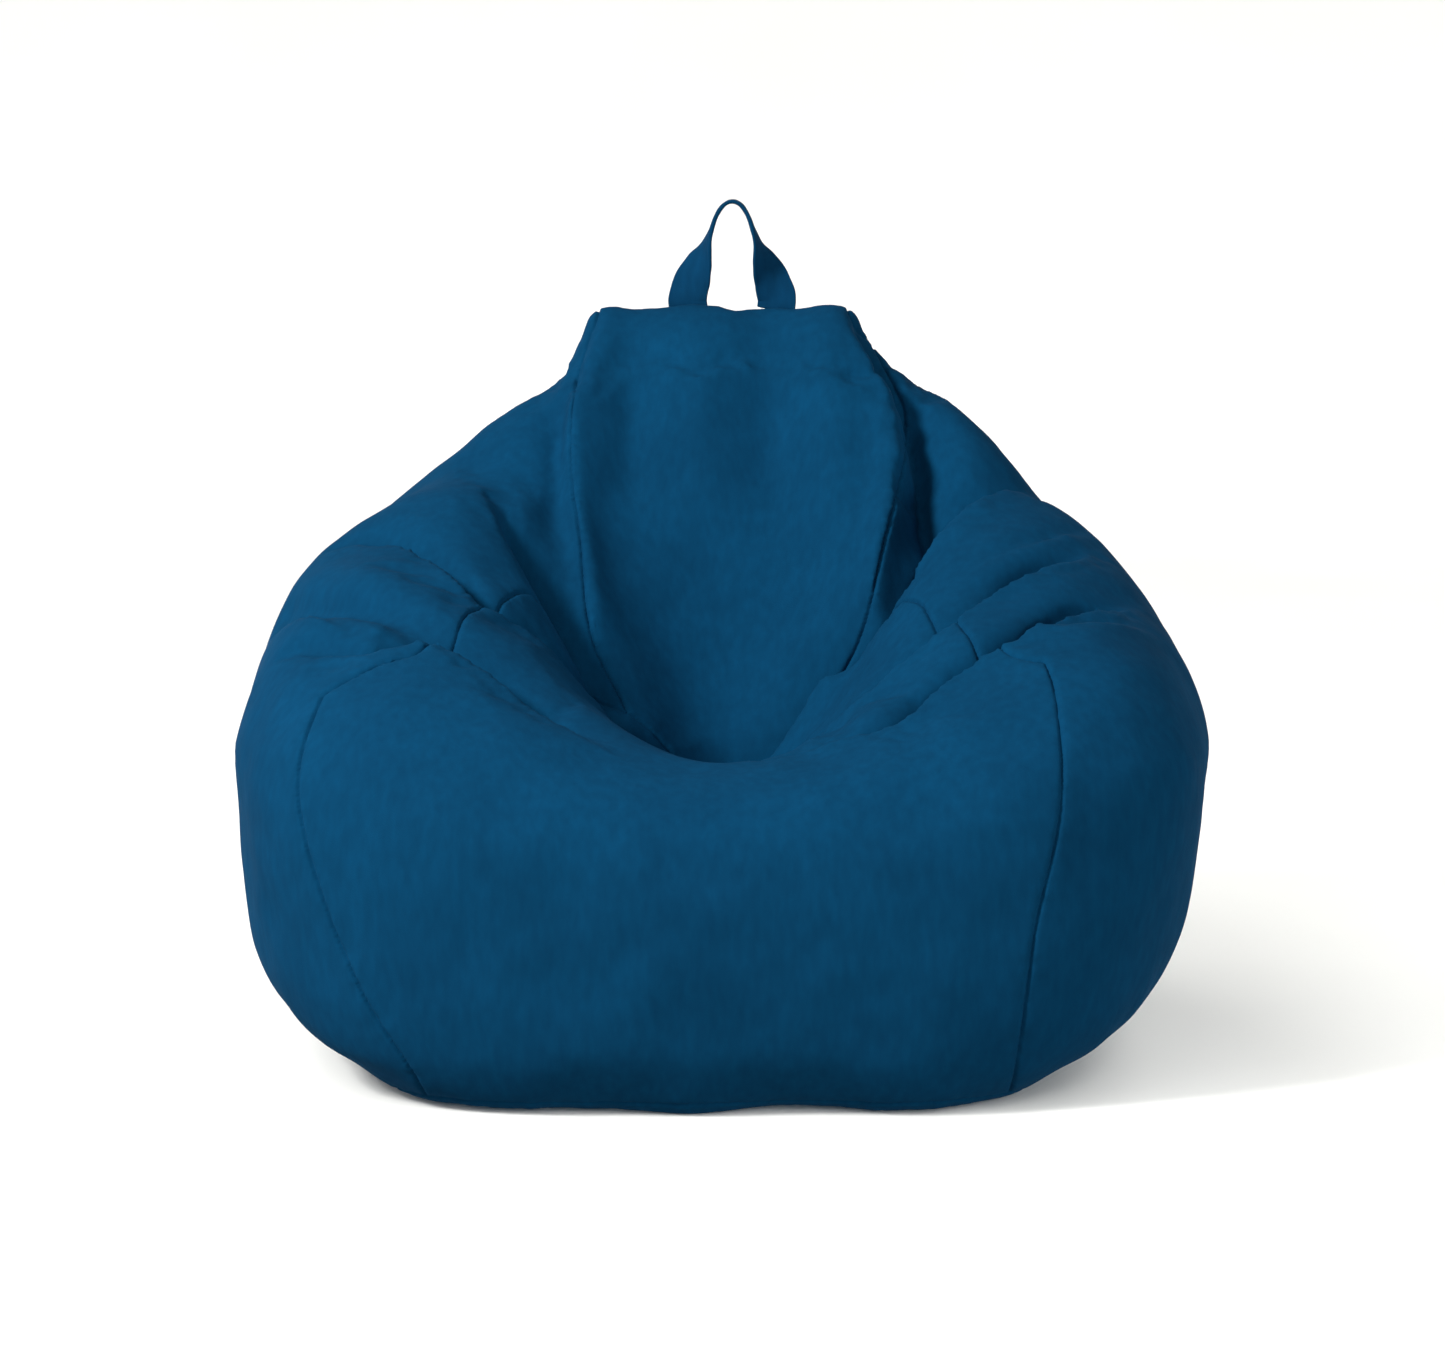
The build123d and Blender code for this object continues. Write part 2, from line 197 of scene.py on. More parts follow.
def edges_of(mesh):
    flat = np.empty(len(mesh.edges) * 2, dtype=np.int32)
    mesh.edges.foreach_get("vertices", flat)
    return flat.reshape(-1, 2)


def unit(vectors):
    return vectors / np.linalg.norm(vectors, axis=-1, keepdims=True)


def relaxed(values, edges, times, share=0.5):
    """Values eased towards their neighbours' mean, so that bumps smaller than the spread go."""
    count = np.maximum(np.bincount(edges.ravel(), minlength=len(values)), 1)[:, None]
    for _ in range(times):
        total = np.zeros_like(values)
        np.add.at(total, edges[:, 0], values[edges[:, 1]])
        np.add.at(total, edges[:, 1], values[edges[:, 0]])
        values = values + share * (total / count - values)
    return values


def outward_of(mesh, times):
    """The mesh's normals, evened out over their neighbours."""
    return unit(relaxed(normals_of(mesh), edges_of(mesh), times))


def tree_of(points):
    tree = KDTree(len(points))
    for i, point in enumerate(points):
        tree.insert(point, i)
    tree.balance()
    return tree


def surface_of(mesh):
    return BVHTree.FromPolygons([v.co for v in mesh.vertices], [p.vertices for p in mesh.polygons])


def new_object(name, data):
    piece = bpy.data.objects.new(name, data)
    bpy.context.scene.collection.objects.link(piece)
    return piece


def new_mesh(name, points, faces):
    mesh = bpy.data.meshes.new(name)
    mesh.from_pydata([tuple(p) for p in points], [], faces)
    mesh.update()
    return mesh


def grid_mesh(name, points, columns):
    """A sheet of quads through rows of points, with that many points to a row."""
    rows = len(points) // columns
    faces = [
        (j * columns + i, j * columns + i + 1, (j + 1) * columns + i + 1, (j + 1) * columns + i)
        for j in range(rows - 1)
        for i in range(columns - 1)
    ]
    return new_mesh(name, points, faces)


def with_modifiers_applied(piece):
    """A new mesh of the piece as its modifiers leave it. The piece itself is taken away."""
    graph = bpy.context.evaluated_depsgraph_get()
    mesh = bpy.data.meshes.new_from_object(piece.evaluated_get(graph), depsgraph=graph)
    bpy.data.objects.remove(piece)
    mesh.materials.clear()
    return mesh


def even_mesh(mesh, spacing):
    """The closed mesh again as even quads of that spacing."""
    piece = new_object("even", mesh.copy())
    remesh = piece.modifiers.new("even", "REMESH")
    remesh.mode = "VOXEL"
    remesh.voxel_size = spacing
    return with_modifiers_applied(piece)


def thickened(mesh, thickness):
    """The sheet as a closed mesh of that thickness, grown inwards."""
    piece = new_object("thick", mesh)
    solidify = piece.modifiers.new("thick", "SOLIDIFY")
    solidify.thickness = thickness
    solidify.offset = -1
    return with_modifiers_applied(piece)


def finished(name, mesh, body, material, stands_for=(), sharp=70):
    """The mesh as a smooth-shaded piece of the chair, with its material and body, standing in for the
    imported parts, which it hides.
    """
    mesh.name = name
    mesh.shade_smooth()
    mesh.set_sharp_from_angle(angle=math.radians(sharp))
    mesh.materials.append(material)
    piece = new_object(name, mesh)
    if body:
        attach(piece, body)
    if stands_for:
        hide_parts(*stands_for)
    return piece


def smoothstep(values, low, high):
    t = np.clip((values - low) / (high - low), 0, 1)
    return t * t * (3 - 2 * t)


def curve_through(points, steps):
    """Points along a smooth curve through the given ones, with steps to each stretch."""
    p = np.asarray(points, dtype=float)
    p = np.vstack([2 * p[0] - p[1], p, 2 * p[-1] - p[-2]])
    t = np.linspace(0, 1, steps, endpoint=False)[:, None]
    stretches = []
    for a, b, c, d in zip(p, p[1:], p[2:], p[3:]):
        bend = (2 * a - 5 * b + 4 * c - d) * t**2 + (3 * b - a - 3 * c + d) * t**3
        stretches.append(0.5 * (2 * b + (c - a) * t + bend))
    return np.vstack([*stretches, p[-2:-1]])


def read_off(places, line):
    """The second value of a smooth line of pairs, read off at places along its first."""
    run = curve_through(line, 12)
    return np.interp(places, run[:, 0], run[:, 1])


def noise_at(points, size, shift):
    """Smooth noise, about -0.5 to 0.5, whose bumps are about that size."""
    away = Vector((shift, 2 * shift, 3 * shift))
    return np.array([noise.noise(Vector(p) / size + away) for p in points])


# --- Where the zips lie -------------------------------------------------------------------------------


class ZipLine:
    """A zip's own frame: up along it, outwards from it, and the middle of its tapes' outer face."""

    def __init__(self, zip_name, joint_name):
        slide = next(j for j in frame["joints"] if j["name"] == joint_name)
        self.up = -np.array(slide["axis"])
        self.out = np.cross(self.up, ACROSS)
        tape = points_of(frame["nodes"][f"{zip_name}_tape_left"].data)
        coil = points_of(frame["nodes"][f"{zip_name}_coil_left"].data)
        along = tape @ self.up
        self.length = np.ptp(along)
        self.chain = np.ptp(coil @ self.up)
        self.outer = (tape @ self.out).max()
        self.coil_top = (coil @ self.out).max() - self.outer
        self.coil_inner = -coil[:, 0].max()
        self.coil_outer = -coil[:, 0].min()
        self.slider_width = np.ptp(points_of(frame["nodes"][f"{zip_name}_slider"].data)[:, 0])
        self.middle = self.up * (along.max() + along.min()) / 2 + self.out * self.outer

    def read(self, points):
        """Each point's place across, up along the zip and out from its tapes."""
        from_middle = np.asarray(points) - self.middle
        return from_middle[:, 0], from_middle @ self.up, from_middle @ self.out

    def at(self, across, along, out):
        """Points at those places across, up along and out from the zip."""
        return self.middle + np.outer(across, ACROSS) + np.outer(along, self.up) + np.outer(out, self.out)


REAR_ZIP = ZipLine("zip", "zip_slide")
LINER_ZIP = ZipLine("liner_zip", "liner_zip_slide")
SLOT_CLEARANCE = 1.5 * MM
COVER_OVER_TAPE = 2.0 * MM
LINER_OVER_TAPE = 1.0 * MM
HEM_WIDTH = 5 * MM
BEADS_UNDER_TAPE = 3.5 * MM
# Furthest in from a zip's tapes that a point still counts as the back
BACK_DEPTH = 40 * MM


def slot_half_width(line):
    return line.slider_width / 2 + SLOT_CLEARANCE


def flattened_back(points, line, out):
    """The points with the back drawn to a flat behind the zip, that far out from its tapes."""
    across, along, height = line.read(points)
    beside = 1 - smoothstep(np.abs(across), 42 * MM, 100 * MM)
    beyond = 1 - smoothstep(np.abs(along), line.length / 2 + 8 * MM, line.length / 2 + 75 * MM)
    weight = beside * beyond * (height > -BACK_DEPTH)
    return points + np.outer(weight * (out - height), line.out)


def on_floor(points, height=0):
    points[:, 2] = np.maximum(points[:, 2], height)
    return points


# --- Folds -------------------------------------------------------------------------------------------


@dataclass
class Fold:
    """A fold along a run of points: x, y, z and height, in millimetres. A pleat is high on the right of its
    run, seen from outside, and falls away on the left over the distance fall, to rise again over reach. Its
    crest is lifted, and leans over the fall by tuck. A dip or a swell is the same on both sides."""

    kind: str
    points: list
    reach: float
    fall: float = 7
    lift: float = 0
    tuck: float = 0


@dataclass
class Pull:
    """A small region drawn one way: its middle, how far it goes, and its reach, in millimetres."""

    middle: tuple
    move: tuple
    reach: float


RIGHT_ARM = [
    Fold("pleat", [(55, -30, 275, 40), (109, -20, 343, 74), (155, -22, 408, 92), (193, -24, 458, 98),
                   (238, 8, 514, 94), (285, 55, 556, 68), (330, 105, 575, 20)], 46, 7, 14, 5),
    Fold("pleat", [(95, -210, 300, 48), (131, -235, 345, 70), (174, -222, 381, 78), (217, -205, 415, 74),
                   (283, -151, 465, 58), (350, -80, 492, 28), (385, -20, 497, 2)], 42, 5, 14, 10),
    Fold("pleat", [(95, -345, 330, 20), (168, -352, 358, 50), (211, -318, 386, 60), (265, -288, 416, 62),
                   (307, -255, 438, 56), (350, -208, 452, 42), (400, -150, 455, 20), (425, -100, 450, 2)],
         38, 5, 10, 12),
    Fold("pleat", [(300, -262, 437, 4), (340, -250, 440, 13), (385, -215, 436, 12), (420, -180, 425, 3)],
         16, 4, 3, 4),
    Fold("pleat", [(250, -90, 470, 3), (300, -60, 500, 13), (345, -20, 508, 12), (380, 30, 505, 2)],
         18, 4, 4, 5),
]
LEFT_ARM = [
    Fold("pleat", [(-385, 10, 500, 2), (-330, -40, 503, 22), (-290, -82, 489, 34), (-243, -140, 443, 52),
                   (-185, -130, 385, 66), (-122, -92, 325, 66), (-62, -70, 275, 28)], 30, 3, 9, 15),
    Fold("pleat", [(-364, -285, 421, 14), (-332, -305, 417, 34), (-275, -287, 420, 46), (-235, -300, 402, 50),
                   (-194, -322, 378, 40), (-154, -347, 355, 26), (-96, -380, 327, 2)], 46, 6, 9, 12),
    Fold("dip", [(-445, -60, 430, 14), (-386, -150, 452, 30), (-313, -210, 450, 26), (-262, -240, 430, 6)],
         24),
    Fold("pleat", [(-430, -120, 425, 2), (-400, -190, 440, 14), (-365, -235, 436, 12), (-335, -270, 425, 2)],
         15, 4, 4, 4),
]
BACKREST = [
    Fold("pleat", [(-112, -5, 380, 2), (-132, 60, 450, 20), (-148, 110, 520, 34), (-152, 150, 590, 32),
                   (-147, 185, 650, 22), (-130, 225, 700, 8)], 46, 8, 9, 6),
    Fold("pleat", [(128, 235, 715, 8), (150, 212, 685, 26), (178, 175, 630, 46), (182, 130, 570, 70),
                   (165, 80, 505, 78), (146, 35, 442, 52), (128, -5, 380, 24), (95, -40, 315, 4)],
         44, 6, 12, 4),
    Fold("dip", [(170, -5, 440, 8), (202, 45, 505, 22), (232, 95, 560, 12), (235, 125, 590, 0)], 40),
    Fold("dip", [(-214, 70, 530, 6), (-181, 25, 475, 30), (-150, 0, 420, 36), (-110, -25, 350, 26)], 30),
    Fold("dip", [(-95, 225, 705, 6), (-92, 170, 630, 14), (-88, 120, 550, 7)], 24),
    Fold("dip", [(48, 225, 705, 5), (52, 170, 630, 13), (50, 110, 540, 8), (45, 50, 450, 0)], 26),
    Fold("swell", [(108, 225, 700, 5), (118, 165, 620, 13), (115, 105, 540, 11), (95, 40, 430, 0)], 26),
    Fold("swell", [(-20, 225, 700, 4), (-22, 165, 620, 10), (-20, 100, 530, 6)], 32),
]
FOLDS = RIGHT_ARM + LEFT_ARM + BACKREST
CROWN_PULLS = [
    Pull((-131, 262, 712), (-7, 0, 15), 26),
    Pull((131, 262, 712), (8, 0, 15), 28),
    Pull((15, 262, 726), (0, 0, -12), 11),
    Pull((-36, 262, 726), (0, 0, 3), 18),
    Pull((60, 262, 726), (0, 0, 3), 18),
]

# Deepest that a fold may go, as a share of how thick the body is there
MOST_OF_THICKNESS = 0.36
# Folds shallower than this many millimetres are never held back
SHALLOW = 25


def pleat_profile(fold, distance, side, height):
    """How far out and how far towards its left the pleat moves a point at that distance from its run."""
    behind = np.clip(side * distance, 0, None)
    fallen = (1 - np.exp(-behind / fold.fall)) * np.exp(-((behind / fold.reach) ** 2))
    share = height / max(point[3] for point in fold.points)
    crest = fold.lift * share * np.exp(-((distance / (2 * fold.fall + 6)) ** 2))
    before = np.clip(-side * distance, 0, None)
    lean = fold.tuck * share * np.exp(-((before / (0.6 * fold.reach)) ** 2)) * np.exp(-behind / fold.fall)
    return crest - height * fallen, lean


def folded(mesh, folds, share):
    """The mesh's points moved by all the folds, held back where the body is thin."""
    points = points_of(mesh) / MM
    outward = outward_of(mesh, 12)
    shape = surface_of(mesh)
    moved = np.zeros_like(points)
    for fold in folds:
        run = curve_through(fold.points, 14)
        spots = [shape.find_nearest(Vector(spot) * MM) for spot in run[:, :3]]
        place = np.array([spot[0] / MM for spot in spots])
        facing_out = np.array([spot[1] for spot in spots])
        leftwards = unit(np.cross(facing_out, np.gradient(place, axis=0)))
        reach = np.ptp(place, axis=0) / 2 + 3 * fold.reach
        middle = (place.max(axis=0) + place.min(axis=0)) / 2
        near = np.where((np.abs(points - middle) < reach).all(axis=1))[0]
        tree = tree_of(place)
        nearest = np.array([tree.find(points[i])[1] for i in near])
        gap = points[near] - place[nearest]
        distance = np.linalg.norm(gap, axis=1)
        side = np.sign(np.einsum("ij,ij->i", gap, leftwards[nearest]))
        facing = smoothstep(np.einsum("ij,ij->i", outward[near], facing_out[nearest]), -0.2, 0.4) * share
        height = run[nearest, 3]
        if fold.kind == "pleat":
            out, lean = pleat_profile(fold, distance, side, height)
            moved[near] += leftwards[nearest] * (lean * facing)[:, None]
        else:
            out = height * np.exp(-((distance / fold.reach) ** 2)) * (1 if fold.kind == "swell" else -1)
        moved[near] += outward[near] * (out * facing)[:, None]
    inwards = -np.einsum("ij,ij->i", moved, outward)
    for i in np.where(inwards > SHALLOW)[0]:
        start = Vector((points[i] - 2 * outward[i]) * MM)
        _, _, _, thickness = shape.ray_cast(start, Vector(-outward[i]))
        excess = inwards[i] - MOST_OF_THICKNESS * (thickness or 1) / MM
        moved[i] += outward[i] * max(excess, 0)
    return (points + moved) * MM


def pulled(points, pulls):
    """The points drawn along by each pull, the nearer its middle the more."""
    for pull in pulls:
        gap = np.linalg.norm(points / MM - pull.middle, axis=1)
        points = points + np.outer(np.exp(-((gap / pull.reach) ** 2)), pull.move) * MM
    return points


# --- The filled shape --------------------------------------------------------------------------------

SHAPE = "filled_shape"


# How far each flank has settled outwards at a height, in millimetres
SETTLED_FLANKS = {
    -1: [(-10, -96), (35, -46), (62, -22), (144, -17), (256, -16), (362, -19), (428, -7), (469, 3),
         (510, 8), (590, -4), (640, -30), (668, -22), (704, -8), (760, 0)],
    1: [(-10, -124), (35, -60), (62, -38), (98, -30), (195, -18), (306, -16), (428, -16), (510, 4),
        (560, 34), (612, 46), (645, 26), (680, 4), (704, -4), (760, 0)],
}
# Half of the body's width at a height, in millimetres
HALF_WIDTHS = [(-10, 400), (100, 470), (300, 490), (450, 460), (550, 380), (650, 250), (740, 130)]


def settled_flanks(points):
    """The points moved sideways, as the beads have sunk away from the foot and into the arms."""
    height = points[:, 2] / MM
    left, right = read_off(height, SETTLED_FLANKS[-1]), read_off(height, SETTLED_FLANKS[1])
    outwards = np.where(points[:, 0] < 0, left, right)
    widest = read_off(height, HALF_WIDTHS) * MM
    share = np.clip(np.abs(points[:, 0]) / widest, 0, 1) ** 2
    return points + np.outer(np.sign(points[:, 0]) * share * outwards * MM, ACROSS)


def plump_shape(spacing):
    """The filled body before it folds, grown from the beads out to the outside of the cover."""
    mesh = even_mesh(frame["nodes"]["bead_fill"].data, spacing)
    points = relaxed(points_of(mesh), edges_of(mesh), 8)
    low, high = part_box("bead_fill")
    grown = (cad_box[1][0] - cad_box[0][0] - (high[0] - low[0])) / 2
    set_points(mesh, points)
    set_points(mesh, settled_flanks(points + outward_of(mesh, 6) * grown))
    return mesh


SETTLING_FRAMES = 20
SETTLING_SPACING = 10 * MM
MOST_SETTLING = 9 * MM
SETTLING_CLOTH = {
    "quality": 4,
    "mass": 0.3,
    "tension_stiffness": 12,
    "compression_stiffness": 12,
    "bending_stiffness": 0.6,
    "use_pressure": True,
    "uniform_pressure_force": 4,
    "shrink_min": -0.025,
    "pin_stiffness": 1,
}
# Heights between which the cloth goes from held to free at the foot, from free to held at the crown, and
# from left as it was to settled
FOOT = (5 * MM, 110 * MM)
CROWN = (640 * MM, 700 * MM)
SETTLED = (240 * MM, 370 * MM)


def settled_cloth(mesh):
    """How the cover's points move as the cloth settles over the beads: coarse points, and their moves."""
    piece = new_object("settling", even_mesh(mesh, SETTLING_SPACING))
    before = points_of(piece.data)
    held = piece.vertex_groups.new(name="held")
    inwards = relaxed(before, edges_of(piece.data), 12) - before
    hollow = smoothstep(np.einsum("ij,ij->i", inwards, outward_of(piece.data, 2)), 2 * MM, 9 * MM)
    height = before[:, 2]
    weights = np.maximum.reduce([hollow, 1 - smoothstep(height, *FOOT), smoothstep(height, *CROWN)])
    for i, weight in enumerate(weights):
        held.add([i], float(weight), "REPLACE")
    cloth = piece.modifiers.new("cloth", "CLOTH")
    for name, value in SETTLING_CLOTH.items():
        setattr(cloth.settings, name, value)
    cloth.settings.vertex_group_mass = held.name
    cloth.settings.effector_weights.gravity = 0
    cloth.collision_settings.use_collision = False
    cloth.point_cache.frame_end = SETTLING_FRAMES
    for number in range(1, SETTLING_FRAMES + 1):
        bpy.context.scene.frame_set(number)
    after = points_of(with_modifiers_applied(piece))
    bpy.context.scene.frame_set(1)
    moves = (after - before) * smoothstep(height, *SETTLED)[:, None]
    length = np.linalg.norm(moves, axis=1, keepdims=True)
    return before, moves * np.minimum(1, MOST_SETTLING / np.maximum(length, 1e-9))


def carried_along(points, coarse, moves):
    """The fine points moved as their nearest coarse points are, the nearer the more."""
    tree = tree_of(coarse)
    moved = points.copy()
    for i, point in enumerate(points):
        found = tree.find_n(point, 4)
        shares = np.array([1 / (distance + 1 * MM) for _, _, distance in found])
        moved[i] += shares @ moves[[index for _, index, _ in found]] / shares.sum()
    return moved


class BEANBAG_OT_shape(bpy.types.Operator):
    """Shape the filled body, with the folds that sitting has left in it"""

    bl_idname = "beanbag.shape"
    bl_label = "Filled shape"

    def execute(self, context):
        cover = context.scene.beanbag_cover
        spacing = cover.spacing * 1
        mesh = plump_shape(spacing)
        set_points(mesh, folded(mesh, FOLDS, cover.folds))
        mesh = even_mesh(mesh, spacing)
        edges = edges_of(mesh)
        points = relaxed(points_of(mesh), edges, 3)
        set_points(mesh, points)
        points = carried_along(points, *settled_cloth(mesh))
        points = pulled(points, CROWN_PULLS)
        lumps = noise_at(points, 0.13, 3) + 0.35 * noise_at(points, 0.045, 8)
        points = points + outward_of(mesh, 4) * (2 * lumps * cover.lumps)[:, None]
        points = flattened_back(points, REAR_ZIP, COVER_OVER_TAPE)
        set_points(mesh, on_floor(points))
        mesh.name = SHAPE
        mesh.use_fake_user = True
        return {"FINISHED"}


# --- The cover ---------------------------------------------------------------------------------------

# Seam lines as pairs of a height and a distance from the middle, in millimetres, each side on its own
# because sitting has pulled the cover askew
BASE_SEAM = 12
SEAT_SEAM = -20
CROWN_SEAM = 268
FRONT_SEAMS = {
    -1: [(-30, 262), (40, 289), (108, 331), (203, 373), (300, 397), (370, 383), (430, 350), (500, 320)],
    1: [(-30, 268), (120, 284), (190, 293), (289, 315), (381, 316), (425, 305), (500, 290)],
}
BACKREST_SEAMS = {
    -1: [(150, 60), (286, 80), (393, 132), (489, 147), (558, 158), (629, 157), (690, 142), (720, 132),
         (790, 122)],
    1: [(150, 66), (317, 110), (385, 141), (435, 156), (510, 176), (559, 191), (599, 196), (629, 190),
        (680, 164), (711, 140), (790, 124)],
}
REAR_SEAM = [(-30, 232), (150, 256), (302, 262), (500, 232), (650, 175), (790, 122)]
# The arm seams as pairs of a place along the depth and a distance from the middle
ARM_SEAMS = {
    -1: [(-420, 620), (-330, 345), (-289, 279), (-162, 243), (-52, 203), (10, 165), (60, 136)],
    1: [(-420, 620), (-330, 330), (-280, 262), (-180, 225), (-88, 198), (-34, 176), (0, 163), (60, 140)],
}


def by_side(points, places, lines):
    """Distance outside a pair of seam lines, each read off at places on its own side of the middle."""
    left = read_off(places, lines[-1])
    right = read_off(places, lines[1])
    return np.abs(points[:, 0]) - np.where(points[:, 0] < 0, left, right)


def in_base(points):
    return points[:, 2] - BASE_SEAM


def slot_of(line):
    """Level that is below zero in the zip's slot."""

    def in_slot(points):
        across, along, out = line.read(points * MM)
        beside = np.abs(across) - slot_half_width(line)
        beyond = np.abs(along) - line.length / 2
        return np.maximum(np.maximum(beside, beyond), -BACK_DEPTH - out) / MM

    return in_slot


def in_rear(points):
    beside = by_side(points, points[:, 2], {-1: REAR_SEAM, 1: REAR_SEAM})
    return np.maximum(CROWN_SEAM - points[:, 1], beside)


def in_backrest(points):
    return np.maximum(SEAT_SEAM - points[:, 1], by_side(points, points[:, 2], BACKREST_SEAMS))


def in_front(points):
    beside = by_side(points, points[:, 2], FRONT_SEAMS)
    over_arm = by_side(points, points[:, 1], ARM_SEAMS)
    return np.maximum(np.maximum(points[:, 1] - SEAT_SEAM, beside), over_arm)


def left_half(points):
    return points[:, 0]


REST, SLOT, REAR = -1, -2, -3
# The faces that a cut works on, its level, and the panel that lies below its zero line
COVER_CUTS = [
    (REST, in_base, 0),
    (REST, slot_of(REAR_ZIP), SLOT),
    (REST, in_rear, REAR),
    (REAR, left_half, 1),
    (REST, in_backrest, 3),
    (REST, in_front, 4),
    (REST, left_half, 5),
]
COVER_LEFTOVERS = {REAR: 2, REST: 6}
LINER_CUTS = [(REST, slot_of(LINER_ZIP), SLOT), (REST, left_half, 0)]
LINER_LEFTOVERS = {REST: 1}


def refined(bm, reach):
    """Smaller faces within reach of every seam."""
    bm.verts.index_update()
    points = np.array([v.co for v in bm.verts]) / MM
    near = np.zeros(len(points), dtype=bool)
    for _, level, _ in COVER_CUTS:
        if level is not left_half:
            near |= np.abs(level(points)) < reach
    _, along, out = REAR_ZIP.read(points * MM)
    near |= (np.abs(points[:, 0]) < reach) & (out > -BACK_DEPTH)
    edges = [e for e in bm.edges if near[e.verts[0].index] and near[e.verts[1].index]]
    bmesh.ops.subdivide_edges(bm, edges=edges, cuts=1, use_grid_fill=True)


def cut_out(bm, tags, source, level, tag):
    """Cut the faces tagged source along the level's zero line, and tag those below it."""
    faces = [f for f in bm.faces if f[tags] == source]
    corners = list({v for f in faces for v in f.verts})
    values = level(np.array([v.co for v in corners]) / MM)
    values[np.abs(values) < 0.4] = 0
    value = dict(zip(corners, values))
    for edge in {e for f in faces for e in f.edges}:
        a, b = edge.verts
        if value[a] * value[b] < 0:
            share = value[a] / (value[a] - value[b])
            value[bmesh.utils.edge_split(edge, a, share)[1]] = 0
    bmesh.ops.connect_verts(bm, verts=[v for v, x in value.items() if x == 0])
    for face in bm.faces:
        if face[tags] == source and sum(value[v] for v in face.verts) < 0:
            face[tags] = tag


def cut_panels(shape, cuts, leftovers, refinements=()):
    """The shape with a panel number on each face, cut along every seam, and the points on its seams."""
    bm = bmesh.new()
    bm.from_mesh(shape)
    for reach in refinements:
        refined(bm, reach)
    tags = bm.faces.layers.int.new("panel")
    for face in bm.faces:
        face[tags] = REST
    for source, level, tag in cuts:
        cut_out(bm, tags, source, level, tag)
    bmesh.ops.delete(bm, geom=[f for f in bm.faces if f[tags] == SLOT], context="FACES")
    for face in bm.faces:
        face[tags] = leftovers.get(face[tags], face[tags])
    seam = [v.co.copy() for v in bm.verts if len({f[tags] for f in v.link_faces}) > 1]
    mesh = bpy.data.meshes.new("sewn")
    bm.to_mesh(mesh)
    bm.free()
    return mesh, seam


def drawn_in_at_seams(mesh, seam, cover):
    """The sewn mesh's points, drawn in along the seams, with small puckers that die away beside them."""
    tree = tree_of(seam)
    points = points_of(mesh)
    found = [tree.find(p) for p in points]
    distance = np.array([f[2] for f in found])
    along = noise_at([f[0] for f in found], 0.011, 5) + 0.6 * noise_at([f[0] for f in found], 0.027, 9)
    groove = cover.seam_depth * np.exp(-((distance / cover.seam_reach) ** 2))
    edge_swell = 0.3 * cover.seam_depth * (distance / 0.008) * np.exp(1 - distance / 0.008)
    pucker = 2 * cover.puckers * along * np.exp(-distance / 0.012) * (1 - np.exp(-distance / 0.002))
    across, up, out = REAR_ZIP.read(points)
    from_slot = np.maximum(np.abs(across) - slot_half_width(REAR_ZIP), np.abs(up) - REAR_ZIP.length / 2)
    hem = 0.7 * MM * np.exp(-(((from_slot - HEM_WIDTH) / (1.3 * MM)) ** 2)) * (out > -10 * MM)
    return points + outward_of(mesh, 3) * (edge_swell * (distance < 0.05) + pucker - groove - hem)[:, None]


def panel_meshes(mesh, names):
    """Each panel's own sheet, by its name."""
    points = points_of(mesh)
    tags = np.empty(len(mesh.polygons), dtype=np.int32)
    mesh.attributes["panel"].data.foreach_get("value", tags)
    faces = {name: [] for name in names}
    for polygon in mesh.polygons:
        faces[names[tags[polygon.index]]].append(polygon.vertices[:])
    sheets = {}
    for name, corners in faces.items():
        used = np.unique([i for face in corners for i in face])
        place = {old: new for new, old in enumerate(used)}
        sheets[name] = new_mesh(name, points[used], [[place[i] for i in face] for face in corners])
    return sheets


class BEANBAG_OT_cover(bpy.types.Operator):
    """Cut the cover's seven panels and sew them together"""

    bl_idname = "beanbag.cover"
    bl_label = "Cover"

    def execute(self, context):
        cover = context.scene.beanbag_cover
        mesh, seam = cut_panels(bpy.data.meshes[SHAPE], COVER_CUTS, COVER_LEFTOVERS, (9, 4.5))
        points = drawn_in_at_seams(mesh, seam, cover)
        set_points(mesh, on_floor(points))
        cloth = brushed_polyester_suede("brushed_polyester_suede", cover.colour, cover.dark, cover.pale)
        for name, sheet in panel_meshes(mesh, PANELS).items():
            panel = thickened(sheet, cover.thickness)
            piece = finished(f"cover_{name}", panel, "chair", cloth, [name])
        return {"FINISHED"}


# --- The carry loop ----------------------------------------------------------------------------------

# Right leg of the loop, from the seam up: its place as shares of the foot's spread and of the height, and
# its twist away from facing the front, in degrees
LOOP_LEG = [
    (0.98, -0.12, 0),
    (1.00, 0.00, 2),
    (0.90, 0.17, 16),
    (0.75, 0.36, 44),
    (0.56, 0.58, 80),
    (0.375, 0.83, 90),
    (0.20, 0.96, 90),
]
STRAP_WIDTH = (42 * MM, 36 * MM)
STRAP_THICKNESS = 4.6 * MM


def strap_outline(width):
    """Half of the strap's cross-section: places across its width, and half thicknesses there."""
    edge = width / 2
    places = [-edge + inset * MM for inset in (0, 0.5, 1.6, 3.4, 5.2)] + [-0.3 * edge, 0]
    shares = (0.05, 0.6, 0.95, 0.66, 0.98, 1, 1)
    half = [(place, share * STRAP_THICKNESS / 2) for place, share in zip(places, shares)]
    return half + [(-place, thick) for place, thick in reversed(half[:-1])]


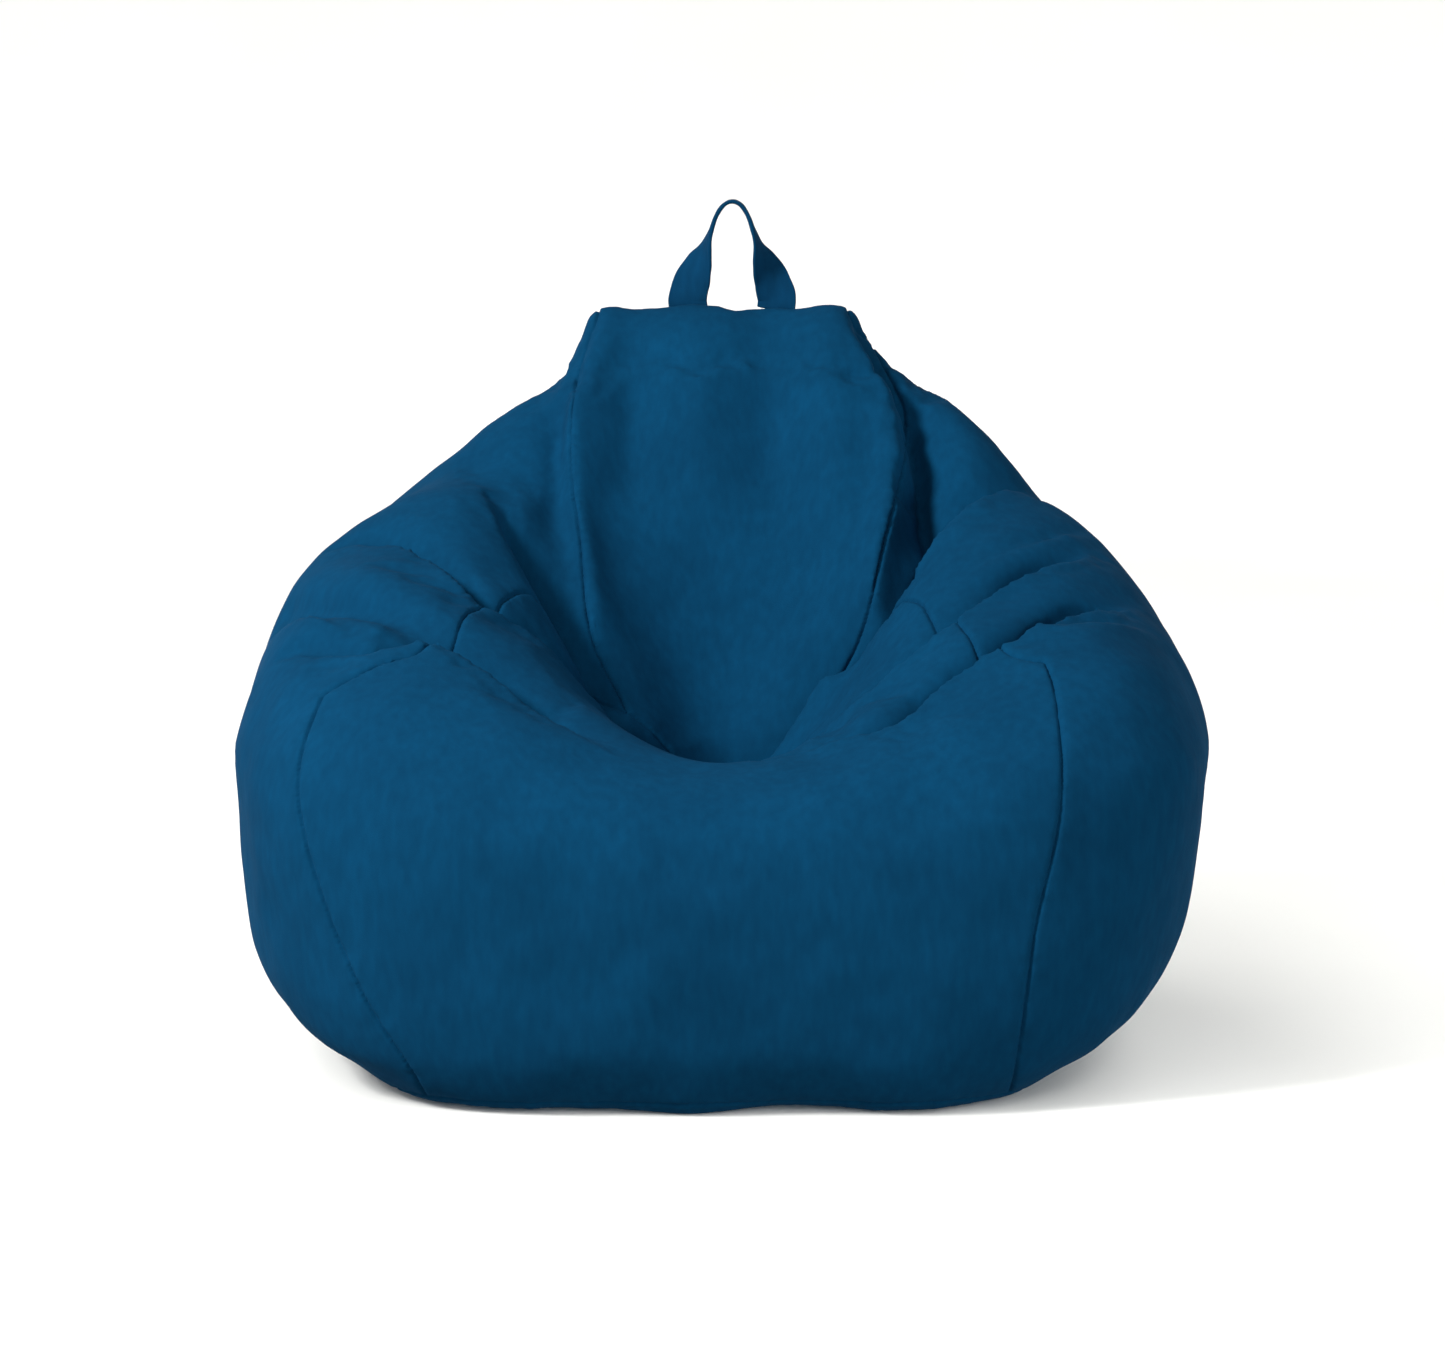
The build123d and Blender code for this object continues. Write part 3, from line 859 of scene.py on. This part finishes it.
def strap_mesh():
    low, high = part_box("carry_loop")
    middle = (low[0] + high[0]) / 2
    rise = high[2] - low[2] - STRAP_THICKNESS / 2
    spread = (high[0] - low[0] - STRAP_WIDTH[0]) / 2
    leg = np.array([(x * spread, z * rise, math.radians(twist)) for x, z, twist in LOOP_LEG])
    top = np.array([(0, rise, math.pi / 2)])
    line = curve_through(np.vstack([leg, top, (leg * (-1, 1, 1))[::-1]]), 9)
    onwards = unit(np.gradient(line[:, :2], axis=0))
    points, rings = [], []
    for (x, z, twist), (dx, dz) in zip(line, onwards):
        along = Vector((dx, 0, dz))
        across = BACKWARDS.cross(along) * math.cos(twist) + BACKWARDS * math.sin(twist)
        facing = across.cross(along)
        place = Vector((middle + x, (low[1] + high[1]) / 2, low[2] + z))
        share = min(max(z / rise, 0), 1)
        outline = strap_outline(STRAP_WIDTH[0] + (STRAP_WIDTH[1] - STRAP_WIDTH[0]) * share)
        ring = [place + across * u + facing * t for u, t in outline]
        ring += [place + across * u - facing * t for u, t in reversed(outline[1:-1])]
        rings.append(range(len(points), len(points) + len(ring)))
        points += ring
    faces = [list(rings[0]), list(reversed(rings[-1]))]
    for a, b in zip(rings, rings[1:]):
        for i in range(len(a)):
            j = (i + 1) % len(a)
            faces.append((a[i], b[i], b[j], a[j]))
    mesh = new_mesh("strap", points, faces)
    bm = bmesh.new()
    bm.from_mesh(mesh)
    bmesh.ops.recalc_face_normals(bm, faces=bm.faces)
    bm.to_mesh(mesh)
    bm.free()
    return mesh


class BEANBAG_OT_carry_loop(bpy.types.Operator):
    """Sew the carry loop into the crown seam"""

    bl_idname = "beanbag.carry_loop"
    bl_label = "Carry loop"

    def execute(self, context):
        trim = context.scene.beanbag_trim
        mesh = strap_mesh()
        piece = new_object("strap", mesh)
        smooth = piece.modifiers.new("smooth", "SUBSURF")
        smooth.levels = 1
        mesh = with_modifiers_applied(piece)
        points = points_of(mesh)
        creases = 0.9 * MM * noise_at(points, 0.016, 4)
        set_points(mesh, points + outward_of(mesh, 1) * creases[:, None])
        # Paler and darker copies of the loop's colour, for the painted sheen and painted shade of its nap.
        pale = shaded(trim.loop_colour, 1.25)
        dark = shaded(trim.loop_colour, 0.8)
        cloth = brushed_polyester_suede("doubled_polyester_suede", trim.loop_colour, dark, pale)
        piece = finished("carry_loop_strap", mesh, None, cloth, ["carry_loop"])
        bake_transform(piece)
        return {"FINISHED"}


# --- Thread, coils and zips --------------------------------------------------------------------------


def strands(name, runs, radius):
    """Round strands of that radius along each run of points, as one mesh."""
    curve = bpy.data.curves.new(name, "CURVE")
    curve.dimensions = "3D"
    curve.bevel_depth = radius
    curve.bevel_resolution = 1
    curve.use_fill_caps = True
    for run in runs:
        spline = curve.splines.new("POLY")
        spline.points.add(len(run) - 1)
        spline.points.foreach_set("co", np.hstack([run, np.ones((len(run), 1))]).ravel())
    return with_modifiers_applied(new_object(name, curve))


def stitches(row, outward, length, thickness):
    """The runs of a row of stitches along points. Each rises out of the cloth and goes back into it."""
    place = np.concatenate([[0], np.cumsum(np.linalg.norm(np.diff(row, axis=0), axis=1))])
    rise = thickness * np.array([-0.5, 0.2, 0.35, 0.2, -0.5])
    runs = []
    for start in np.arange(0, place[-1] - length, length):
        along = start + length * np.array([0.05, 0.2, 0.5, 0.8, 0.95])
        runs.append(np.column_stack([
            np.interp(along, place, row[:, k]) + rise * np.interp(along, place, outward[:, k])
            for k in range(3)
        ]))
    return runs


def coil_mesh(line, side, pitch):
    """One side's coil: flattened turns that reach between the other side's."""
    wire = 0.3 * pitch
    turns = int(line.chain / pitch)
    angle = np.linspace(0, 2 * math.pi * turns, 10 * turns)
    inner = 0.12 * line.coil_inner
    across = (line.coil_outer + inner) / 2 + (line.coil_outer - inner - wire) / 2 * np.cos(angle)
    along = (pitch * angle / (2 * math.pi) - pitch * turns / 2) + side * pitch / 4
    out = line.coil_top / 2 + (line.coil_top - wire) / 2 * np.sin(angle)
    return strands("coil", [line.at(side * across, along, out)], wire / 2)


def dressed(node_name, material, bevel=0):
    """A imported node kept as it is, with its material, and its sharp edges rounded."""
    node = frame["nodes"][node_name]
    node.data.materials.clear()
    node.data.materials.append(material)
    if bevel:
        rounding = node.modifiers.new("rounding", "BEVEL")
        rounding.width = bevel
        rounding.segments = 2
        rounding.limit_method = "ANGLE"
        rounding.angle_limit = math.radians(40)


def hem_stitching(line, trim):
    """Rows of stitches round the zip's slot, through the folded edge of the cloth."""
    x = slot_half_width(line) + HEM_WIDTH
    y = line.length / 2 + HEM_WIDTH
    corners = [(-x, -y), (x, -y), (x, y), (-x, y), (-x, -y)]
    share = np.linspace(0, 1, 60)
    height = np.full_like(share, COVER_OVER_TAPE - 0.5 * MM)
    outward = np.tile(line.out, (len(share), 1))
    runs = []
    for (x0, y0), (x1, y1) in zip(corners, corners[1:]):
        row = line.at(x0 + (x1 - x0) * share, y0 + (y1 - y0) * share, height)
        runs += stitches(row, outward, trim.stitch_length, trim.thread_thickness)
    return strands("stitches", runs, trim.thread_thickness / 2)


class BEANBAG_OT_rear_zip(bpy.types.Operator):
    """Make the rear zip, its slider and pull, and the stitching round it"""

    bl_idname = "beanbag.rear_zip"
    bl_label = "Rear zip"

    def execute(self, context):
        trim = context.scene.beanbag_trim
        tape = woven_tape("woven_polyester_tape", trim.tape_colour, 1.1)
        nylon = drawn_nylon("drawn_nylon", trim.coil_colour)
        plated = nickel_plated_zinc("nickel_plated_zinc", trim.metal_colour)
        for side_name, side in SIDES:
            dressed(f"zip_tape_{side_name}", tape)
            coil = coil_mesh(REAR_ZIP, side, trim.coil_pitch)
            stands_for = [f"zip_coil_{side_name}"]
            finished(f"zip_coil_turns_{side_name}", coil, "chair", nylon, stands_for)
        for name in ("zip_top_stops", "zip_bottom_stop", "zip_slider", "zip_pull"):
            dressed(name, plated, 0.35 * MM)
        thread = twisted_thread("twisted_polyester_thread", trim.thread_colour)
        finished("zip_stitching", hem_stitching(REAR_ZIP, trim), "chair", thread)
        return {"FINISHED"}


# --- Care label --------------------------------------------------------------------------------------


# Somewhere behind the chair, from where its back is looked for
BEHIND = 0.7
LABEL_THICKNESS = 0.5 * MM


class BEANBAG_OT_care_label(bpy.types.Operator):
    """Sew the blank care label to the back, with its lower edge a little curled"""

    bl_idname = "beanbag.care_label"
    bl_label = "Care label"

    def execute(self, context):
        trim = context.scene.beanbag_trim
        low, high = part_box("care_label")
        shape = surface_of(bpy.data.meshes[SHAPE])
        columns, rows = 15, 27
        points, outward = [], []
        for up in np.linspace(0, 1, rows):
            for across in np.linspace(0, 1, columns):
                x, z = low[0] + across * (high[0] - low[0]), low[2] + up * (high[2] - low[2])
                place, normal, _, _ = shape.ray_cast(Vector((x, BEHIND, z)), -BACKWARDS)
                curl = 3.2 * (1 - up) ** 4 * (0.7 + 0.3 * math.sin(5 * across))
                curl += 0.35 * math.sin(7 * up + 3 * across)
                points.append(place + normal * (0.9 + curl) * MM)
                outward.append(normal)
        sheet = grid_mesh("label", points, columns)
        ribbon = satin_ribbon("woven_polyester_satin", trim.label_colour)
        label = thickened(sheet, LABEL_THICKNESS)
        finished("care_label_ribbon", label, "chair", ribbon, ["care_label"])
        grid = np.array(points).reshape(rows, columns, 3)
        out = np.array(outward).reshape(rows, columns, 3)
        runs = []
        for row in (rows - 2, rows - 4):
            runs += stitches(grid[row, 1:-1], out[row, 1:-1], trim.stitch_length, trim.thread_thickness)
        thread = twisted_thread("twisted_polyester_thread_pale", trim.label_colour)
        rows_sewn = strands("stitches", runs, trim.thread_thickness / 2)
        finished("label_stitching", rows_sewn, "chair", thread)
        return {"FINISHED"}


# --- Inside the cover --------------------------------------------------------------------------------


LINER_DEPTH = 11 * MM
BEADS_DEPTH = 14 * MM
LINER_THICKNESS = 0.8 * MM
PATCH_DEPTH = 2.4 * MM
PATCH_THICKNESS = 1.2 * MM
# Times that the points of an inner layer are eased and put back inside, so that none shows through a fold
KEEPING_INSIDE = 3


def layer_inside(depth, spacing, out):
    """The filled shape again, drawn in by that depth everywhere, and flat behind the liner's zip."""
    shape = bpy.data.meshes[SHAPE]
    outside = surface_of(shape)
    mesh = even_mesh(shape, spacing)
    set_points(mesh, relaxed(points_of(mesh), edges_of(mesh), 2))
    edges = edges_of(mesh)
    points = points_of(mesh) - outward_of(mesh, 4) * depth
    for _ in range(KEEPING_INSIDE):
        points = relaxed(points, edges, 1)
        for i, point in enumerate(points):
            place, normal, _, _ = outside.find_nearest(point)
            if (Vector(point) - place).dot(normal) > -depth:
                points[i] = place - normal * depth
    set_points(mesh, on_floor(flattened_back(points, LINER_ZIP, out), depth / 2))
    return mesh


class BEANBAG_OT_liner(bpy.types.Operator):
    """Make the inner bag, its zip, and the patch under the carry loop"""

    bl_idname = "beanbag.liner"
    bl_label = "Liner and patch"

    def execute(self, context):
        trim = context.scene.beanbag_trim
        taffeta = plain_weave("plain_woven_taffeta", trim.liner_colour, 0.9)
        names = ("liner_left", "liner_right")
        layer = layer_inside(LINER_DEPTH, 9 * MM, LINER_OVER_TAPE)
        mesh, _ = cut_panels(layer, LINER_CUTS, LINER_LEFTOVERS)
        for name, sheet in panel_meshes(mesh, names).items():
            half = thickened(sheet, LINER_THICKNESS)
            finished(f"{name}_half", half, "chair", taffeta, [name])
        tape = woven_tape("woven_polyester_tape_undyed", trim.liner_colour, 1.1)
        nylon = drawn_nylon("drawn_nylon_undyed", trim.liner_colour)
        zinc = nickel_plated_zinc("die_cast_zinc", trim.metal_colour)
        for side_name, side in SIDES:
            dressed(f"liner_zip_tape_{side_name}", tape)
            coil = coil_mesh(LINER_ZIP, side, 0.8 * trim.coil_pitch)
            name = f"liner_zip_coil_{side_name}"
            finished(f"{name}_turns", coil, "chair", nylon, [name])
        for name in ("liner_zip_top_stops", "liner_zip_bottom_stop", "liner_zip_slider"):
            dressed(name, zinc, 0.25 * MM)
        self.sew_patch(taffeta)
        return {"FINISHED"}

    def sew_patch(self, cloth):
        """The strip inside the crown that the carry loop's ends are sewn through."""
        low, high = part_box("loop_patch")
        shape = surface_of(bpy.data.meshes[SHAPE])
        columns, rows = 60, 9
        points = []
        for y in np.linspace(low[1], high[1], rows):
            for x in np.linspace(low[0], high[0], columns):
                place, normal, _, _ = shape.ray_cast(Vector((x, y, 1)), -UP)
                points.append(place - normal * PATCH_DEPTH)
        sheet = thickened(grid_mesh("patch", points, columns), PATCH_THICKNESS)
        finished("loop_patch_strip", sheet, "chair", cloth, ["loop_patch"])


class BEANBAG_OT_beads(bpy.types.Operator):
    """Fill the liner with foam beads"""

    bl_idname = "beanbag.beads"
    bl_label = "Beads"

    def execute(self, context):
        colour = context.scene.beanbag_trim.bead_colour
        mesh = layer_inside(BEADS_DEPTH, 10 * MM, -BEADS_UNDER_TAPE)
        foam = expanded_beads("expanded_polystyrene_beads", colour)
        finished("bead_filling", mesh, "chair", foam, ["bead_fill"])
        return {"FINISHED"}


# --- Materials ---------------------------------------------------------------------------------------


# A wave texture draws 20 / (2 pi) bands to a unit of its scale. Six in place of that draws threads about
# twice as coarse as their real pitch, so that they show.
COARSE_BANDS = 6


def per(millimetres):
    """The pattern scale whose features are that size."""
    return 1 / (millimetres * MM)


def add(tree, kind, inputs, **settings):
    """A node with its settings, and each input's value or the socket that feeds it."""
    node = tree.nodes.new(kind)
    for name, value in settings.items():
        setattr(node, name, value)
    for name, value in inputs.items():
        if isinstance(value, bpy.types.NodeSocket):
            tree.links.new(value, node.inputs[name])
        else:
            node.inputs[name].default_value = value
    return node


def start_material(name, colour, roughness, **inputs):
    """A material of one colour, its node tree, its shader, and its coordinates in metres."""
    material = bpy.data.materials.new(name)
    material.use_nodes = True
    material.diffuse_color = colour
    tree = material.node_tree
    shader = tree.nodes["Principled BSDF"]
    shader.inputs["Base Color"].default_value = colour
    shader.inputs["Roughness"].default_value = roughness
    for socket, value in inputs.items():
        shader.inputs[socket.replace("_", " ")].default_value = value
    return material, tree, shader, add(tree, "ShaderNodeTexCoord", {}).outputs["Object"]


def shaded(colour, share):
    """The colour at that share of its lightness, opaque."""
    return [min(1, share * c) for c in colour[:3]] + [1]


def noise_of(tree, where, millimetres, detail=3.0):
    """Smooth noise whose features are that size."""
    inputs = {"Vector": where, "Scale": per(millimetres), "Detail": detail}
    return add(tree, "ShaderNodeTexNoise", inputs).outputs[0]


def two_tone(tree, shader, share, first, second, low=0.35, high=0.65):
    """Colour that goes from the first to the second as the share goes from low to high."""
    ramp = add(tree, "ShaderNodeValToRGB", {"Fac": share})
    ramp.color_ramp.elements[0].position = low
    ramp.color_ramp.elements[0].color = first
    ramp.color_ramp.elements[1].position = high
    ramp.color_ramp.elements[1].color = second
    tree.links.new(ramp.outputs["Color"], shader.inputs["Base Color"])
    return ramp


def raised(tree, shader, heights, strength, millimetres):
    """Fine relief: its heights run from 0 to 1, over that depth."""
    inputs = {"Height": heights, "Strength": strength, "Distance": millimetres * MM}
    bump = add(tree, "ShaderNodeBump", inputs)
    tree.links.new(bump.outputs["Normal"], shader.inputs["Normal"])


def brushed_polyester_suede(name, colour, dark, pale):
    # Microfibre knit, its face brushed to a short nap. Dull, with no highlight, and cloudy: patches a hand's
    # width across, laid at random by noise, are painted paler where the nap lies towards the eye, as painted
    # sheen, and darker where it lies away, as painted shade, with finer strokes inside them that are painted
    # darker where their relief is low. The fibres are about 0.01 mm thick, so their grain is drawn at 1.3 mm
    # to show at all.
    material, tree, shader, where = start_material(name, colour, 0.95, Sheen_Weight=0.02, Sheen_Roughness=0.5)
    shader.inputs["Specular IOR Level"].default_value = 0.06
    shader.inputs["Sheen Tint"].default_value = pale
    painted_sheen_clouds = noise_of(tree, where, 95, 4)
    stretched = add(tree, "ShaderNodeMapping", {"Vector": where, "Scale": (1, 1, 0.35)}).outputs[0]
    strokes = noise_of(tree, stretched, 9, 3)
    grain = noise_of(tree, where, 1.3, 2)
    painted_sheen_and_shade = add(tree, "ShaderNodeMath", {0: painted_sheen_clouds, 1: strokes}, operation="ADD").outputs[0]
    shares = add(tree, "ShaderNodeMath", {0: painted_sheen_and_shade, 1: 0.5}, operation="MULTIPLY").outputs[0]
    # Painted sheen and painted shade: the cloth's colour runs from the dark tone to the pale one as the noise
    # rises.
    ramp = two_tone(tree, shader, shares, dark, pale, 0.3, 0.72)
    ramp.color_ramp.elements.new(0.5).color = colour
    relief = add(tree, "ShaderNodeMath", {0: grain, 1: strokes}, operation="ADD").outputs[0]
    raised(tree, shader, relief, 0.35, 0.5)
    return material


def woven_tape(name, colour, pitch):
    # Polyester tape, narrow-woven in a twill: dull, with fine slanting ribs and painted shade in the grooves
    # between them.
    material, tree, shader, where = start_material(name, colour, 0.85)
    slant = (0, math.radians(35), 0)
    turned = add(tree, "ShaderNodeMapping", {"Vector": where, "Rotation": slant}).outputs[0]
    inputs = {"Vector": turned, "Scale": per(pitch) / COARSE_BANDS, "Distortion": 0.6}
    ribs = add(tree, "ShaderNodeTexWave", inputs).outputs[1]
    # The darker tone is painted shade, laid where the ribs' relief is low.
    dark = shaded(colour, 0.6)
    two_tone(tree, shader, ribs, dark, colour, 0.1, 0.9)
    raised(tree, shader, ribs, 0.6, 0.3)
    return material


def plain_weave(name, colour, pitch):
    # Polyester taffeta, plain-woven and undyed: even and pale, with a fine square weave, painted shade where
    # its threads lie low, and a slight gloss.
    material, tree, shader, where = start_material(name, colour, 0.6, Sheen_Weight=0.1)
    threads = []
    inputs = {"Vector": where, "Scale": per(pitch) / COARSE_BANDS}
    for direction in ("X", "Z"):
        wave = add(tree, "ShaderNodeTexWave", inputs, bands_direction=direction)
        threads.append(wave.outputs[1])
    weave = add(tree, "ShaderNodeMath", {0: threads[0], 1: threads[1]}, operation="MULTIPLY").outputs[0]
    # The darker tone is painted shade, laid where the weave's relief is low.
    dark = shaded(colour, 0.86)
    two_tone(tree, shader, weave, dark, colour, 0.1, 0.7)
    raised(tree, shader, weave, 0.4, 0.3)
    return material


def satin_ribbon(name, colour):
    # Polyester satin, heat-cut: smooth and faintly glossy, with long floats of thread across it and painted
    # shade where they lie low.
    material, tree, shader, where = start_material(name, colour, 0.42, Sheen_Weight=0.05)
    squeezed = add(tree, "ShaderNodeMapping", {"Vector": where, "Scale": (0.15, 1, 1)}).outputs[0]
    floats = noise_of(tree, squeezed, 0.8, 2)
    # The darker tone is painted shade, laid where the floats' relief is low.
    dark = shaded(colour, 0.9)
    two_tone(tree, shader, floats, dark, colour)
    raised(tree, shader, floats, 0.3, 0.15)
    return material


def drawn_nylon(name, colour):
    # Nylon monofilament, drawn and coiled: hard, smooth and slightly glossy, a little uneven in its dye.
    material, tree, shader, where = start_material(name, colour, 0.35, IOR=1.53)
    dark = shaded(colour, 0.75)
    two_tone(tree, shader, noise_of(tree, where, 3), dark, colour)
    return material


def nickel_plated_zinc(name, colour):
    # Zinc alloy, die-cast, tumbled and nickel plated: satin, and unevenly bright where it has scuffed.
    material, tree, shader, where = start_material(name, colour, 0.3, Metallic=1)
    dark = shaded(colour, 0.72)
    two_tone(tree, shader, noise_of(tree, where, 2.5), dark, colour)
    scuffs = noise_of(tree, where, 0.6)
    rough = add(tree, "ShaderNodeMapRange", {"Value": scuffs, "To Min": 0.22, "To Max": 0.42}).outputs[0]
    tree.links.new(rough, shader.inputs["Roughness"])
    raised(tree, shader, scuffs, 0.15, 0.1)
    return material


def twisted_thread(name, colour):
    # Polyester sewing thread, twisted from three strands: dull, with slanting strands and painted shade in
    # the grooves between them.
    material, tree, shader, where = start_material(name, colour, 0.7, Sheen_Weight=0.15)
    inputs = {"Vector": where, "Scale": per(0.5) / COARSE_BANDS}
    strands = add(tree, "ShaderNodeTexWave", inputs, bands_direction="DIAGONAL")
    # The darker bands are painted shade in the grooves between the strands.
    dark = shaded(colour, 0.7)
    two_tone(tree, shader, strands.outputs[1], dark, colour, 0.1, 0.9)
    return material


def expanded_beads(name, colour):
    # Polystyrene, expanded into round beads 4 mm across: matt white, with painted shade in the gaps between
    # them.
    material, tree, shader, where = start_material(name, colour, 0.8)
    cells = add(tree, "ShaderNodeTexVoronoi", {"Vector": where, "Scale": per(4)}).outputs["Distance"]
    bead_tops_and_gap_shade = add(tree, "ShaderNodeMath", {0: 1.0, 1: cells}, operation="SUBTRACT").outputs[0]
    # The dark tone is painted shade, laid where the beads' relief is low, in the gaps between them.
    dark = shaded(colour, 0.6)
    two_tone(tree, shader, bead_tops_and_gap_shade, dark, colour, 0.25, 0.55)
    raised(tree, shader, bead_tops_and_gap_shade, 0.8, 2)
    return material


def matt_vinyl(name, colour):
    # Vinyl backdrop, coated matt: even and pale, with the faintest cloudiness.
    material, tree, shader, where = start_material(name, colour, 0.85)
    dark = shaded(colour, 0.97)
    two_tone(tree, shader, noise_of(tree, where, 700, 2), dark, colour)
    return material


# --- Floor, lights and camera ------------------------------------------------------------------------

LIGHTS = [
    # name, place, power as a share of the Key light setting, size
    ("key", (-2.9, -2.1, 2.8), 1.06, 0.9),
    ("front", (-0.5, -4.0, 0.9), 0.13, 1.8),
    ("fill", (3.2, -2.4, 0.7), 0.2, 1.4),
]


AIM = Vector((0, 0, 0.35))
BACKDROP_LIGHTS = 4
BACKDROP_LIGHT_TILT = 60
CAMERA_PLACE = (0, -4.4711, 0.9294)
CAMERA_DOWNWARDS = 6.5
CAMERA_LENS = 109.4
CAMERA_SHIFT = (0.001, -0.0474)
FLOOR_RADIUS = 6
BEND_RADIUS = 2
WALL_HEIGHT = 7


def backdrop_mesh():
    """A round floor that curves up into a wall all round."""
    profile = [(0.01, 0), (2, 0), (4, 0), (FLOOR_RADIUS, 0)]
    for t in np.linspace(0, math.pi / 2, 13)[1:]:
        profile.append((FLOOR_RADIUS + BEND_RADIUS * math.sin(t), BEND_RADIUS - BEND_RADIUS * math.cos(t)))
    profile.append((FLOOR_RADIUS + BEND_RADIUS, WALL_HEIGHT))
    around = 72
    turns = [2 * math.pi * i / around for i in range(around)]
    corners = [(r * math.cos(t), r * math.sin(t), z) for r, z in profile for t in turns]
    faces = [tuple(range(around))]
    for ring in range(len(profile) - 1):
        for i in range(around):
            j = (i + 1) % around
            faces.append(tuple(ring * around + k for k in (i, j, j + around, i + around)))
    return new_mesh("backdrop", corners, faces)


class BEANBAG_OT_stage(bpy.types.Operator):
    """Make the floor, the lights and the camera"""

    bl_idname = "beanbag.stage"
    bl_label = "Floor, lights and camera"

    def execute(self, context):
        stage = context.scene.beanbag_stage
        floor = backdrop_mesh()
        floor.shade_smooth()
        floor.materials.append(matt_vinyl("matt_vinyl_backdrop", stage.floor_colour))
        backdrop = new_object("backdrop", floor)
        world = bpy.data.worlds.new("room")
        world.use_nodes = True
        world.node_tree.nodes["Background"].inputs["Color"].default_value = (1, 1, 1, 1)
        world.node_tree.nodes["Background"].inputs["Strength"].default_value = stage.room_light
        context.scene.world = world
        for name, place, share, size in LIGHTS:
            lamp = bpy.data.lights.new(name, "AREA")
            lamp.energy = stage.key_light * share
            lamp.size = size
            light = new_object(name, lamp)
            light.location = place
            light.rotation_euler = (AIM - light.location).to_track_quat("-Z", "Y").to_euler()
        backdrop.visible_diffuse = False
        only_backdrop = bpy.data.collections.new("backdrop only")
        only_backdrop.objects.link(backdrop)
        for turn in range(BACKDROP_LIGHTS):
            lamp = bpy.data.lights.new("backdrop light", "SUN")
            lamp.energy = stage.backdrop_light
            lamp.angle = 1.0
            light = new_object("backdrop light", lamp)
            heading = 45 + 360 / BACKDROP_LIGHTS * turn
            light.rotation_euler = (math.radians(BACKDROP_LIGHT_TILT), 0, math.radians(heading))
            light.light_linking.receiver_collection = only_backdrop
        camera = bpy.data.cameras.new("camera")
        camera.lens = CAMERA_LENS
        camera.sensor_width = 36
        camera.shift_x, camera.shift_y = CAMERA_SHIFT
        eye = new_object("camera", camera)
        eye.location = CAMERA_PLACE
        eye.rotation_euler = (math.radians(90 - CAMERA_DOWNWARDS), 0, 0)
        context.scene.camera = eye
        context.scene.view_settings.view_transform = "Standard"
        return {"FINISHED"}


# --- The add-on --------------------------------------------------------------------------------------

SETTINGS = {"beanbag_cover": CoverSettings, "beanbag_trim": TrimSettings, "beanbag_stage": StageSettings}
PIECES = (
    BEANBAG_OT_shape,
    BEANBAG_OT_cover,
    BEANBAG_OT_carry_loop,
    BEANBAG_OT_rear_zip,
    BEANBAG_OT_care_label,
    BEANBAG_OT_liner,
    BEANBAG_OT_beads,
    BEANBAG_OT_stage,
)


class BEANBAG_PT_sidebar(bpy.types.Panel):
    """The chair's pieces in the order they are made, and their settings"""

    bl_idname = "BEANBAG_PT_sidebar"
    bl_label = "Bean bag chair"
    bl_space_type = "VIEW_3D"
    bl_region_type = "UI"
    bl_category = "Bean bag"

    def draw(self, context):
        for piece in PIECES:
            self.layout.operator(piece.bl_idname)
        for name, group in SETTINGS.items():
            box = self.layout.box()
            for setting in group.__annotations__:
                box.prop(getattr(context.scene, name), setting)


def register():
    for each in (*SETTINGS.values(), *PIECES, BEANBAG_PT_sidebar):
        bpy.utils.register_class(each)
    for name, group in SETTINGS.items():
        setattr(bpy.types.Scene, name, PointerProperty(type=group))


def unregister():
    for name in SETTINGS:
        delattr(bpy.types.Scene, name)
    for each in reversed((*SETTINGS.values(), *PIECES, BEANBAG_PT_sidebar)):
        bpy.utils.unregister_class(each)


def main():
    register()
    bpy.ops.beanbag.shape()
    bpy.ops.beanbag.cover()
    bpy.ops.beanbag.carry_loop()
    bpy.ops.beanbag.rear_zip()
    bpy.ops.beanbag.care_label()
    bpy.ops.beanbag.liner()
    bpy.ops.beanbag.beads()
    bpy.ops.beanbag.stage()


if __name__ == "__main__":
    main()
